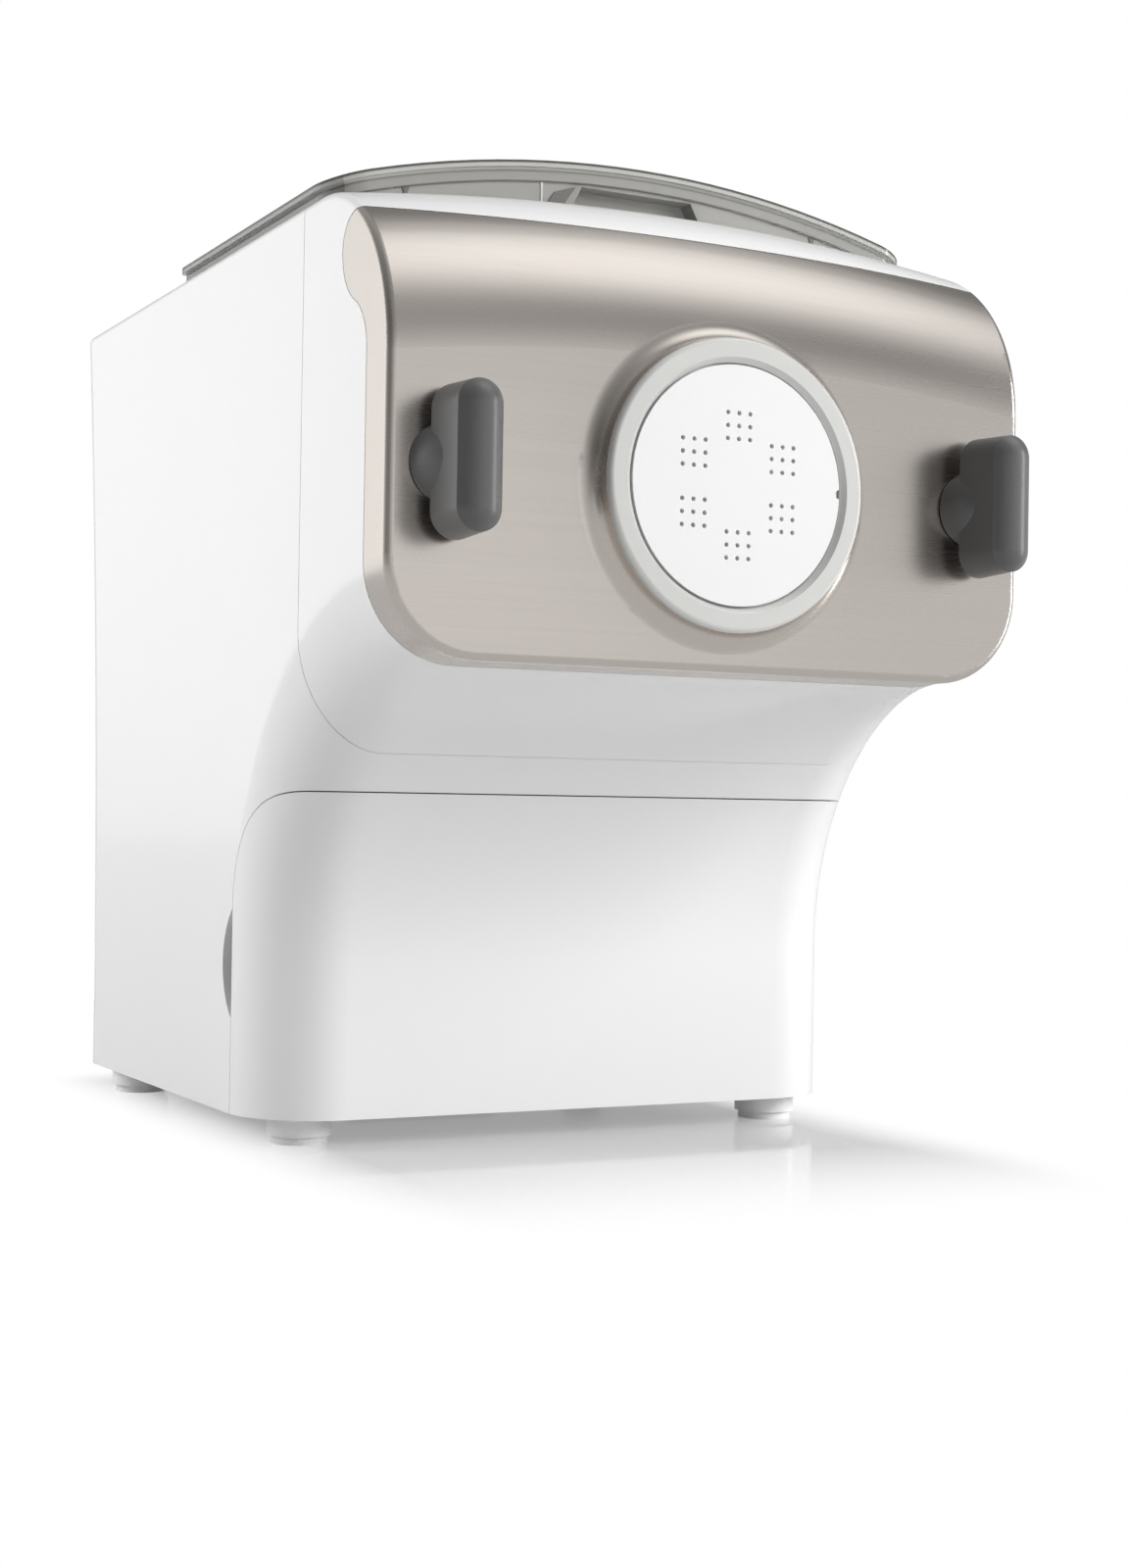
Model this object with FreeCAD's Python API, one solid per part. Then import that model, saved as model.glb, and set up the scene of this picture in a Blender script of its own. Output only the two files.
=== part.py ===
import FreeCAD, Part
import math
import os

# Electric pasta maker, in millimetres. +Z up, the front faces -Y.
# The pieces are drawn with Y = 0 at the foot of the drawer front and X = 0 on the centre
# plane, and are saved with the origin under the middle of the whole machine.

os.makedirs("parts", exist_ok=True)
V = FreeCAD.Vector
LEFT_AND_RIGHT = (-1, 1)

# Casing
BODY_WIDTH = 220.0
BODY_BOTTOM = 9.0
SIDE_TOP = 291.5
TOP_CROWN = 7.5
OVERHANG = 93.6
ROLL_RADIUS = 54.0
COVE_RADIUS = 89.0
COVE_START = 62.0
BACK_LEAN = 23.0
REAR_ROOM = 12.3
REAR_INSET = 18.0
BEYOND = 60.0
FRONT_CORNER = 29.0
BACK_CORNER = 16.0
EDGE_ROUNDING = 2.5
WALL = 2.5
SEAM = 0.4
FIT = 0.3

# Where the casing is split
HOUSING_SEAM = -27.0
PANEL_SIDE_SEAM = -78.0
PANEL_BULGE = 19.5
PANEL_BULGE_HEIGHT = 271.0
PANEL_BROW_RADIUS = 10.2
PANEL_BROW_SLOPE = 14.5
PANEL_SKIN = 2.0
DRAWER_SIDE_SEAM = 28.0
DRAWER_TOP_SEAM = 113.5
DRAWER_SEAM_RADIUS = 37.5

# Extrusion line
AXIS_HEIGHT = 206.3
DISC_RADIUS = 35.9
DISC_FLANGE = 38.5
DISC_THICKNESS = 5.0
DISC_HOLE = 1.4
DISC_HOLE_PITCH = 3.85
DISC_GROUP_RADIUS = 17.75
DISC_GROUPS = 6
DISC_ROWS = 3
COLLAR_RADIUS = 43.9
COLLAR_HEIGHT = 8.8
RING_THICKNESS = 2.6
RING_EDGE = 1.5
RING_OVERHANG = 0.2
COLLAR_BORE_GAP = 0.7
DISC_RECESS = 1.0
TUBE_BORE = 24.0
TUBE_WALL = 3.0
TUBE_FLANGE = 34.0

# Knobs
KNOB_INSET = 19.0
KNOB_REACH = 24.4
KNOB_BASE_RADIUS = 12.0
KNOB_BASE_RIM = 0.8
KNOB_DOME_HEIGHT = 12.6
KNOB_DOME_END = 6.8
KNOB_DOME_BULGE = 0.7
KNOB_GRIP_LENGTH = 42.4
KNOB_GRIP_WIDTH = 13.8
KNOB_GRIP_START = 4.0
KNOB_CROWN = 3.0
KNOB_EDGE = 0.6
KNOB_BACK_EDGE = 0.8
KNOB_STEM_RADIUS = 6.5
SCREW_RADIUS = 4.0
SCREW_LENGTH = 30.0
SCREW_CLEARANCE = 0.15
NUT_RADIUS = 7.0
NUT_LENGTH = 12.0

# Mixing chamber and what turns in it
CHAMBER_RADIUS = 48.0
CHAMBER_WALL = 2.2
CHAMBER_LENGTH = 158.0
CHAMBER_END_WALL = 3.0
CHAMBER_TOP = 285.0
CHAMBER_FRONT = -72.0
LINER_GAP = 1.0
LINER_WALL = 2.0
HUB_RADIUS = 12.5
HEX_ACROSS = 12.0
HEX_CLEARANCE = 0.2
JOURNAL_RADIUS = 8.0
ARM_COUNT = 5
ARM_THICKNESS = 6.0
ARM_WIDTH = 12.0
ARM_SWEEP_GAP = 2.0
ARM_TWIST = 72.0
AUGER_CORE = 9.5
AUGER_CLEARANCE = 0.8
AUGER_PITCH = 24.0
AUGER_FLIGHT = 4.0

# Drive
GEAR_WIDTH = 8.0
GEAR_GAP = 2.0
FIRST_MODULE = 1.0
SECOND_MODULE = 1.25
THIRD_MODULE = 1.5
PINION_TEETH = 12
FIRST_TEETH = 60
SMALL_TEETH = 14
LARGE_TEETH = 48
FIRST_AXLE_BEARING = 40.0
AXLE_RADIUS = 3.5
AXLE_CLEARANCE = 0.06
BEARING_OUTER = 14.0
BEARING_WIDTH = 7.0
CASE_WALL = 3.0
CASE_CORNER = 18.0
HEAD_SINK = 1.8
MOTOR_HEIGHT = 112.0
MOTOR_RADIUS = 34.0
MOTOR_LENGTH = 42.0
MOTOR_SHAFT = 3.0
MOTOR_BEARING = 8.0
MOTOR_SLOT_START = 13.0
MOTOR_SLOT_END = 27.0
MOTOR_SLOT_WIDTH = 8.0
FAN_RADIUS = 30.0
FAN_BLADES = 9

# Lid
LID_INSET = 3.0
LID_OVERLAP = 23.7
LID_FRONT = -39.0
LID_TOP = 315.0
LID_SIDE_TOP = 298.5
LID_PLATE = 2.0
LID_CORNER = 14.0
LID_SKIRT = 2.0
LID_STEP_DROP = 6.0
LID_STEP_INSET = 1.2
LID_RIM = 1.5
LID_GRIP_WIDTH = 52.0
LID_GRIP_HEIGHT = 8.5
LID_GRIP_DEPTH = 9.0

# Drawer
DRAWER_INSET = 18.0
DRAWER_ROOM = 2.5
DISC_STORE_GAP = 3.0
DRAWER_SKIN = 2.5
DRAWER_WALL = 2.0
DRAWER_BACK_HEIGHT = 60.0
RECESS_RADIUS = 22.7
RECESS_CENTRE_Y = 14.2
RECESS_CENTRE_Z = 57.7
RECESS_DEPTH = 10.0
RAIL_WIDTH = 5.0
RAIL_HEIGHT = 16.0
RAIL_FRONT = 34.0
RAIL_END_GAP = 1.3

# Feet and controls
FOOT_RADIUS = 10.5
FOOT_RIM_RADIUS = 9.3
FOOT_RIM_HEIGHT = 2.6
FOOT_STEM = 4.0
FRONT_FOOT_INSET = 21.0
FRONT_FOOT_Y = 20.0
BACK_FOOT_INSET = 14.0
BACK_FOOT_SETBACK = 29.6
BASE_THICKNESS = 2.5
BASE_REBATE = 2.2
BASE_REBATE_GAP = 0.1
PANEL_STRIP_WIDTH = 120.0
STRIP_FROM_LID = 15.0
STRIP_FROM_BACK = 3.0
BUTTONS_FROM_BACK = 16.0
DISPLAY_FROM_FRONT = 23.0
BUTTON_RADIUS = 8.0
BUTTON_TRAVEL = 1.2
BUTTON_PROUD = 1.6
BUTTON_PITCH = 30.0
DISPLAY_SIZE = (46.0, 22.0)
GLAND_RADIUS = 9.0
CORD_BORE = 3.6
GLAND_HEIGHT = 40.0
GLAND_INSET = 50.0

# Shared fasteners, vents and small parts
SHAFT_CLEARANCE = 0.08
SCREW_HOLE = 1.8
SCREW_HEAD = 3.4
FOOT_BOSS = 6.0
VENT_ROWS = 9
VENT_START = 70.0
VENT_PITCH = 9.0
VENT_LENGTH = 110.0
VENT_WIDTH = 3.4
KNOB_GAP = 0.4
KNOB_DRAFT = 0.8
STEM_LENGTH = 15.0
SEAL_RADIUS = 13.0
AUGER_INSIDE = 22.0
SADDLE_FRONT = -20.0
SADDLE_BACK = 60.0
SADDLE_HALF = 56.0
CASE_GAP = 0.4
ROTOR_RADIUS = 20.0
FAN_WIDTH = 8.0
PLUNGER_RADIUS = 2.5
LID_TOE_GAP = 1.5
SWITCH_INSET = 26.0
SWITCH_FROM_LID_BACK = 10.0
POUR_LENGTH = 44.0
POUR_WIDTH = 11.0
POUR_Y = 20.0
FUNNEL_LOW = 294.0
FUNNEL_FLANGE_DROP = 12.0
BUTTON_FLANGE_GAP = 0.3
BOARD_THICKNESS = 1.6
BOARD_POST_X = 50.0
BOARD_POST_FRONT = 9.0
BOARD_POST_BACK = 8.0
BOARD_POST_RADIUS = 2.5
SWITCH_BODY_HEIGHT = 3.5
POWER_BOARD_INSET = 12.0
POWER_BOARD_SETBACK = 23.0
POWER_BOARD_WIDTH = 56.0
POWER_BOARD_LENGTH = 64.0
POWER_BOARD_STANDOFF = 4.0

# Worked out from the values above
HALF = BODY_WIDTH / 2
FACE_Y = -OVERHANG
CENTRE_TOP = SIDE_TOP + TOP_CROWN
ARCH_RADIUS = (HALF ** 2 + TOP_CROWN ** 2) / (2 * TOP_CROWN)
ARCH_CENTRE = CENTRE_TOP - ARCH_RADIUS
COLLAR_FRONT = FACE_Y - COLLAR_HEIGHT
NECK_FRONT = COLLAR_FRONT + RING_THICKNESS
NECK_RADIUS = COLLAR_RADIUS - RING_OVERHANG
KNOB_OFFSET = HALF - KNOB_INSET
DISC_FRONT = COLLAR_FRONT + DISC_RECESS
DISC_BACK = DISC_FRONT + DISC_THICKNESS
TUBE_FRONT = DISC_BACK + FIT
KNOB_FACE = FACE_Y - KNOB_REACH
CHAMBER_BACK = CHAMBER_FRONT + CHAMBER_LENGTH
COLLAR_BORE = DISC_RADIUS + COLLAR_BORE_GAP
COLLAR_SPIGOT = DISC_FLANGE + FIT + 1.9
STEM_END = FACE_Y + STEM_LENGTH
DRAWER_HALF_WIDTH = HALF - DRAWER_INSET
DRAWER_DEPTH = 2 * (DISC_FLANGE + DRAWER_WALL) + DISC_STORE_GAP
DRAWER_BACK = DRAWER_SKIN + FIT + DRAWER_DEPTH
CHASSIS_FRONT = max(CHAMBER_BACK + LINER_GAP + LINER_WALL + FIT, DRAWER_BACK + DRAWER_ROOM)
CASE_FRONT = CHASSIS_FRONT + WALL + CASE_GAP
LAYER_3 = CASE_FRONT + BEARING_WIDTH + 1.2
LAYER_2 = LAYER_3 + GEAR_WIDTH + GEAR_GAP
LAYER_1 = LAYER_2 + GEAR_WIDTH + GEAR_GAP
COVER_FRONT = LAYER_1 + GEAR_WIDTH + GEAR_GAP
COVER_BACK = COVER_FRONT + CASE_WALL
MOTOR_FRONT = COVER_BACK + FIT
MOTOR_BACK = MOTOR_FRONT + MOTOR_LENGTH
FAN_FRONT = MOTOR_BACK + 3.0
FAN_BACK = FAN_FRONT + FAN_WIDTH
BACK_BOTTOM = FAN_BACK + REAR_ROOM
BACK_TOP = BACK_BOTTOM + BACK_LEAN
MIDDLE_Y = (KNOB_FACE + BACK_TOP) / 2
LID_HALF_WIDTH = HALF - LID_INSET
LID_BACK = CHASSIS_FRONT + LID_OVERLAP
SWITCH_X = HALF - SWITCH_INSET
GLAND_OFFSET = HALF - GLAND_INSET
SWITCH_Y = LID_BACK - SWITCH_FROM_LID_BACK
FRONT_FOOT = (HALF - FRONT_FOOT_INSET, FRONT_FOOT_Y)
BACK_FOOT = (HALF - BACK_FOOT_INSET, BACK_BOTTOM - BACK_FOOT_SETBACK)
PANEL_STRIP_FRONT = LID_BACK + STRIP_FROM_LID
PANEL_STRIP_BACK = BACK_BOTTOM - STRIP_FROM_BACK
BUTTON_ROW_Y = PANEL_STRIP_BACK - BUTTONS_FROM_BACK
DISPLAY_Y = PANEL_STRIP_FRONT + DISPLAY_FROM_FRONT
BOARD_POST_ROWS = (PANEL_STRIP_FRONT + BOARD_POST_FRONT, PANEL_STRIP_BACK - BOARD_POST_BACK)
EPS = 0.02


def box(x0, x1, y0, y1, z0, z1):
    return Part.makeBox(x1 - x0, y1 - y0, z1 - z0, V(x0, y0, z0))


def rod_x(y, z, radius, x0, x1):
    return Part.makeCylinder(radius, x1 - x0, V(x0, y, z), V(1, 0, 0))


def rod_y(x, z, radius, y0, y1):
    return Part.makeCylinder(radius, y1 - y0, V(x, y0, z), V(0, 1, 0))


def rod_z(x, y, radius, z0, z1):
    return Part.makeCylinder(radius, z1 - z0, V(x, y, z0), V(0, 0, 1))


def ring_y(x, z, outer, inner, y0, y1):
    return rod_y(x, z, outer, y0, y1).cut(rod_y(x, z, inner, y0 - 1, y1 + 1))


def outline(points):
    return Part.Face(Part.makePolygon(list(points) + [points[0]]))


def front_prism(points, y0, y1):
    """A prism along the machine from (x, z) corners."""
    face = outline([V(x, y0, z) for x, z in points])
    return face.extrude(V(0, y1 - y0, 0))


def rounded_plan(x0, x1, y0, y1, z0, z1, radius):
    block = box(x0, x1, y0, y1, z0, z1)
    upright = [e for e in block.Edges if abs(e.BoundBox.ZLength - (z1 - z0)) < EPS]
    return block.makeFillet(radius, upright)


def arc(start, middle, end):
    return Part.Arc(start, middle, end).toShape()


def line(start, end):
    return Part.LineSegment(start, end).toShape()


def hexagon(across, y0, y1):
    corner = across / math.sqrt(3)
    angles = [math.radians(60 * i) for i in range(6)]
    points = [(corner * math.cos(a), AXIS_HEIGHT + corner * math.sin(a)) for a in angles]
    return front_prism(points, y0, y1)


def joined(shapes):
    first = shapes[0]
    if len(shapes) == 1:
        return first
    return first.multiFuse(shapes[1:]).removeSplitter()


def save(name, shape):
    placed = shape.copy()
    placed.translate(V(0, -MIDDLE_Y, 0))
    solids = placed.Solids
    placed = solids[0] if len(solids) == 1 else Part.makeCompound(solids)
    placed.exportStep("parts/" + name + ".step")


# The outside of the casing

def casing_sides(inset):
    """The extruded body: drawer front, cove under the panel, leaning back."""
    x = -HALF + inset
    low = BODY_BOTTOM + inset
    cove = COVE_RADIUS + inset
    far = FACE_Y - BEYOND
    high = CENTRE_TOP + BEYOND
    back_low = BACK_BOTTOM - inset
    lean_top = BACK_TOP - inset
    half_way = (low + CENTRE_TOP) / 2
    cos45 = math.cos(math.radians(45))
    foot = V(x, inset, low)
    cove_foot = V(x, inset, COVE_START)
    cove_middle = V(x, -COVE_RADIUS + cove * cos45, COVE_START + cove * cos45)
    cove_end = V(x, -COVE_RADIUS, COVE_START + cove)
    belly_end = V(x, far, COVE_START + cove)
    top_front = V(x, far, high)
    top_back = V(x, lean_top, high)
    back_top = V(x, lean_top, CENTRE_TOP)
    back_middle = V(x, back_low + BACK_LEAN / 4, half_way)
    back_foot = V(x, back_low, low)
    edges = [line(foot, cove_foot),
             arc(cove_foot, cove_middle, cove_end),
             line(cove_end, belly_end),
             line(belly_end, top_front),
             line(top_front, top_back),
             line(top_back, back_top),
             arc(back_top, back_middle, back_foot),
             line(back_foot, foot)]
    body = Part.Face(Part.Wire(edges)).extrude(V(BODY_WIDTH - 2 * inset, 0, 0))
    front_edges = []
    back_edges = []
    for edge in body.Edges:
        bounds = edge.BoundBox
        if bounds.XLength > EPS:
            continue
        middle = edge.CenterOfMass
        under = middle.z < COVE_START + cove + EPS and middle.z > low + EPS
        if under and middle.y < inset + EPS:
            front_edges.append(edge)
        elif bounds.ZLength > 200 and middle.y > 0:
            back_edges.append(edge)
    body = body.makeFillet(FRONT_CORNER - inset, front_edges)
    back_edges = [e for e in body.Edges
                  if e.BoundBox.XLength < EPS and e.BoundBox.ZLength > 30 and e.CenterOfMass.y > 100]
    return body.makeFillet(BACK_CORNER - inset, back_edges)


def casing_top(inset):
    """The arched top with the front rolled down to the panel face."""
    front = FACE_Y + inset
    roll = ROLL_RADIUS - inset
    top = CENTRE_TOP - inset
    roll_y = FACE_Y + ROLL_RADIUS
    roll_z = CENTRE_TOP - ROLL_RADIUS
    cos45 = math.cos(math.radians(45))
    low = BODY_BOTTOM - BEYOND
    far = BACK_TOP + BEYOND
    edges = [line(V(0, front, low), V(0, front, roll_z)),
             arc(V(0, front, roll_z),
                 V(0, roll_y - roll * cos45, roll_z + roll * cos45),
                 V(0, roll_y, top)),
             line(V(0, roll_y, top), V(0, far, top)),
             line(V(0, far, top), V(0, far, low)),
             line(V(0, far, low), V(0, front, low))]
    face = Part.Face(Part.Wire(edges))
    centre = V(0, 0, ARCH_CENTRE)
    swing = 16
    face.rotate(centre, V(0, 1, 0), -swing)
    return face.revolve(centre, V(0, 1, 0), 2 * swing)


def casing(inset):
    return casing_sides(inset).common(casing_top(inset))


def rounded_casing():
    body = casing(0)
    rounded = []
    for edge in body.Edges:
        middle = edge.CenterOfMass
        bounds = edge.BoundBox
        at_side = abs(abs(middle.x) - HALF) < EPS and bounds.XLength < EPS
        on_face = abs(middle.y - FACE_Y) < EPS and bounds.YLength < EPS
        if on_face and middle.z < AXIS_HEIGHT + 40:
            rounded.append(edge)
        elif at_side and middle.z > COVE_START + 100 and middle.y < BACK_BOTTOM:
            rounded.append(edge)
    return body.makeFillet(EDGE_ROUNDING, rounded)


def footprint(inset, z0, z1):
    """The plan of the casing at its foot, with the large corners in front."""
    x = HALF - inset
    front = FRONT_CORNER - inset
    back = BACK_CORNER - inset
    front_half = rounded_plan(-x, x, inset, BACK_BOTTOM - inset, z0, z1, front)
    back_half = rounded_plan(-x, x, inset, BACK_BOTTOM - inset, z0, z1, back)
    split = BACK_BOTTOM / 2
    keep_front = box(-HALF, HALF, 0, split, z0, z1)
    keep_back = box(-HALF, HALF, split, BACK_BOTTOM, z0, z1)
    return joined([front_half.common(keep_front), back_half.common(keep_back)])


def top_at(x):
    """Height of the casing's arched top at this distance from the centre plane."""
    return ARCH_CENTRE + math.sqrt(ARCH_RADIUS ** 2 - x ** 2)


def in_front_of_panel_seam(gap):
    """The space of the front panel: straight at the sides, a bulge near the top, then the brow."""
    seam = PANEL_SIDE_SEAM + gap
    bulge = seam + PANEL_BULGE
    rise = 1.6 * PANEL_BULGE
    start = PANEL_BULGE_HEIGHT - rise
    radius = (PANEL_BULGE ** 2 + rise ** 2) / (4 * PANEL_BULGE)
    lean = math.asin(rise / 2 / radius) / 2
    first = V(-HALF - 5, seam + radius * (1 - math.cos(lean)), start + radius * math.sin(lean))
    middle = V(-HALF - 5, seam + PANEL_BULGE / 2, start + rise / 2)
    second = V(-HALF - 5, bulge - radius * (1 - math.cos(lean)),
               PANEL_BULGE_HEIGHT - radius * math.sin(lean))
    x = -HALF - 5
    brow = PANEL_BROW_RADIUS + gap
    brow_centre = V(x, bulge - brow, PANEL_BULGE_HEIGHT)
    slope = math.radians(PANEL_BROW_SLOPE)
    half_turn = (math.pi / 2 - slope) / 2
    low = V(x, seam, AXIS_HEIGHT - 120)
    straight = V(x, seam, start)
    back = V(x, bulge, PANEL_BULGE_HEIGHT)
    brow_middle = brow_centre + V(0, brow * math.cos(half_turn), brow * math.sin(half_turn))
    brow_end = brow_centre + V(0, brow * math.sin(slope), brow * math.cos(slope))
    far = FACE_Y - BEYOND
    far_top = V(x, far, brow_end.z + (brow_end.y - far) * math.tan(slope))
    far_low = V(x, far, low.z)
    edges = [line(low, straight),
             arc(straight, first, middle),
             arc(middle, second, back),
             arc(back, brow_middle, brow_end),
             line(brow_end, far_top),
             line(far_top, far_low),
             line(far_low, low)]
    return Part.Face(Part.Wire(edges)).extrude(V(BODY_WIDTH + 10, 0, 0))


def in_drawer_seam(gap):
    """The space that the drawer front takes, seen from the side."""
    x = -HALF - 5
    back = DRAWER_SIDE_SEAM + gap
    top = DRAWER_TOP_SEAM + gap
    radius = DRAWER_SEAM_RADIUS + gap
    cos45 = math.cos(math.radians(45))
    centre = V(x, back - radius, top - radius)
    low_back = V(x, back, 0)
    arc_start = V(x, back, centre.z)
    arc_middle = centre + V(0, radius * cos45, radius * cos45)
    arc_end = V(x, centre.y, top)
    far_top = V(x, -120, top)
    far_low = V(x, -120, 0)
    edges = [line(low_back, arc_start),
             arc(arc_start, arc_middle, arc_end),
             line(arc_end, far_top),
             line(far_top, far_low),
             line(far_low, low_back)]
    return Part.Face(Part.Wire(edges)).extrude(V(BODY_WIDTH + 10, 0, 0))


# Solids that several pieces are cut from
SKIN = rounded_casing().cut(casing(WALL))
PANEL_SPACE = in_front_of_panel_seam(0)
PANEL_CLEARANCE = in_front_of_panel_seam(SEAM)
DRAWER_SPACE = in_drawer_seam(0)
DRAWER_CLEARANCE = in_drawer_seam(SEAM)
BAY_HALF = CHAMBER_RADIUS + CHAMBER_WALL + LINER_GAP
BAY_FRONT = LID_FRONT + 6
LINER_OUTER = BAY_HALF + LINER_WALL
BAY_INSET = PANEL_SKIN + WALL + 2 * FIT
BULKHEAD_BACK = PANEL_SIDE_SEAM + 4.1
BULKHEAD_FRONT = BULKHEAD_BACK - WALL
REAR_OPENING = (HALF - REAR_INSET, 24.0, 268.0)


def chamber_mouth(half_width, y0, y1, top):
    """A U-shaped prism on the extrusion axis, open upwards."""
    round_part = rod_y(0, AXIS_HEIGHT, half_width, y0, y1)
    upper = box(-half_width, half_width, y0, y1, AXIS_HEIGHT, top)
    return round_part.fuse(upper).removeSplitter()


def top_opening(y0, y1):
    return box(-BAY_HALF, BAY_HALF, y0, y1, SIDE_TOP - 8, CENTRE_TOP + 5)


def front_housing():
    zone = box(-HALF - 1, HALF + 1, FACE_Y - 5, HOUSING_SEAM, 0, CENTRE_TOP + 5)
    shell = SKIN.common(zone).cut(PANEL_CLEARANCE)
    lap_inset = PANEL_SKIN + FIT
    lap_zone = box(-HALF, HALF, BULKHEAD_FRONT, PANEL_SIDE_SEAM + PANEL_BULGE + 8,
                   AXIS_HEIGHT + 20, CENTRE_TOP)
    lap = casing(lap_inset).cut(casing(lap_inset + WALL)).common(lap_zone)
    plate_zone = box(-HALF, HALF, BULKHEAD_FRONT, BULKHEAD_BACK, 0, CENTRE_TOP)
    plate = casing(lap_inset).common(plate_zone)
    plate = plate.cut(chamber_mouth(BAY_HALF, BULKHEAD_FRONT - 1, BULKHEAD_BACK + 1, CHAMBER_TOP + 1))
    inner = lap.fuse(plate).cut(PANEL_CLEARANCE.cut(casing(lap_inset)))
    body = shell.fuse(inner)
    bosses = [rod_y(side * KNOB_OFFSET, AXIS_HEIGHT, NUT_RADIUS + 3, BULKHEAD_FRONT,
                    BULKHEAD_FRONT + NUT_LENGTH) for side in LEFT_AND_RIGHT]
    body = body.multiFuse(bosses)
    for side in LEFT_AND_RIGHT:
        body = body.cut(rod_y(side * KNOB_OFFSET, AXIS_HEIGHT, NUT_RADIUS + SCREW_CLEARANCE,
                              BULKHEAD_FRONT - 1, BULKHEAD_FRONT + NUT_LENGTH + 1))
    return body.cut(top_opening(BAY_FRONT, HOUSING_SEAM + 1))


def finger_recess(side, radius, depth):
    inner = side * (HALF - depth)
    outer = side * (HALF + 1)
    low, high = sorted((inner, outer))
    cup = rod_x(RECESS_CENTRE_Y, RECESS_CENTRE_Z, radius, low, high)
    behind = box(-HALF - 2, HALF + 2, DRAWER_SIDE_SEAM + SEAM, 100, 0, 150)
    return cup.common(behind)


def rear_opening(grow):
    half, low, high = REAR_OPENING
    return rounded_plan(-half - grow, half + grow, -high - grow, -low + grow, 0, 100, 14 + grow)


def rear_block(grow):
    """The rear opening as a block through the back wall."""
    block = rear_opening(grow)
    block.rotate(V(0, 0, 0), V(1, 0, 0), -90)
    block.translate(V(0, BACK_BOTTOM - 40, 0))
    return block


def strip_block(grow, z0, z1):
    half = PANEL_STRIP_WIDTH / 2 + grow
    return rounded_plan(-half, half, PANEL_STRIP_FRONT - grow, PANEL_STRIP_BACK + grow, z0, z1, 10 + grow)


def main_housing():
    zone = box(-HALF - 1, HALF + 1, HOUSING_SEAM + SEAM, BACK_TOP + 5, 0, CENTRE_TOP + 5)
    body = SKIN.common(zone).cut(DRAWER_CLEARANCE)
    body = body.cut(footprint(BASE_REBATE, 0, BODY_BOTTOM + BASE_THICKNESS + BASE_REBATE_GAP))
    body = body.cut(rear_block(0))
    body = body.cut(top_opening(HOUSING_SEAM, CHAMBER_BACK + LINER_GAP))
    body = body.cut(strip_block(0, CENTRE_TOP - 20, CENTRE_TOP + 5))
    body = body.cut(rod_z(SWITCH_X, SWITCH_Y, PLUNGER_RADIUS + FIT, CENTRE_TOP - 20, CENTRE_TOP + 5))
    for side in LEFT_AND_RIGHT:
        cup = finger_recess(side, RECESS_RADIUS + WALL, RECESS_DEPTH + WALL)
        cup = cup.common(box(-HALF + 0.5, HALF - 0.5, -100, 100, 0, 150))
        body = body.fuse(cup)
        body = body.cut(finger_recess(side, RECESS_RADIUS, RECESS_DEPTH))
    return body


def rear_cover():
    skin = casing(0).cut(casing(2 * WALL)).common(rear_block(-SEAM))
    lip = casing(WALL + FIT).cut(casing(2 * WALL)).common(rear_block(6))
    lip = lip.common(box(-HALF, HALF, BACK_BOTTOM - 12, BACK_TOP + 5, 0, CENTRE_TOP))
    skin = skin.common(box(-HALF, HALF, BACK_BOTTOM - 12, BACK_TOP + 5, 0, CENTRE_TOP))
    cover = skin.fuse(lip)
    slots = []
    for row in range(VENT_ROWS):
        z = VENT_START + row * VENT_PITCH
        slots.append(box(-VENT_LENGTH / 2, VENT_LENGTH / 2, BACK_BOTTOM - 20, BACK_TOP + 5,
                         z, z + VENT_WIDTH))
    for x, z in rear_screw_places():
        slots.append(rod_y(x, z, SCREW_HOLE, BACK_BOTTOM - 20, BACK_TOP + 5))
        slots.append(rod_y(x, z, SCREW_HEAD + FIT, rear_face(z) - 2.5, BACK_TOP + 5))
    slots.append(rod_y(GLAND_OFFSET, GLAND_HEIGHT, GLAND_RADIUS - 2 + FIT, BACK_BOTTOM - 20, BACK_TOP))
    return cover.cut(joined(slots))


def rear_face(z):
    """Where the leaning back wall stands at this height."""
    share = (z - BODY_BOTTOM) / (CENTRE_TOP - BODY_BOTTOM)
    return BACK_BOTTOM + BACK_LEAN * share ** 2


def rear_screw_places():
    half, low, high = REAR_OPENING
    inset = 9
    return [(side * (half - inset), z) for side in LEFT_AND_RIGHT for z in (low + inset, high - inset)]


def rear_cover_screws():
    screws = []
    for x, z in rear_screw_places():
        face = rear_face(z)
        head = rod_y(x, z, SCREW_HEAD, face - 2.2, face - 0.6)
        shank = rod_y(x, z, SCREW_HOLE - FIT, face - 12, face - 2.0)
        screws.append(head.fuse(shank))
    return Part.makeCompound(screws)


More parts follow.
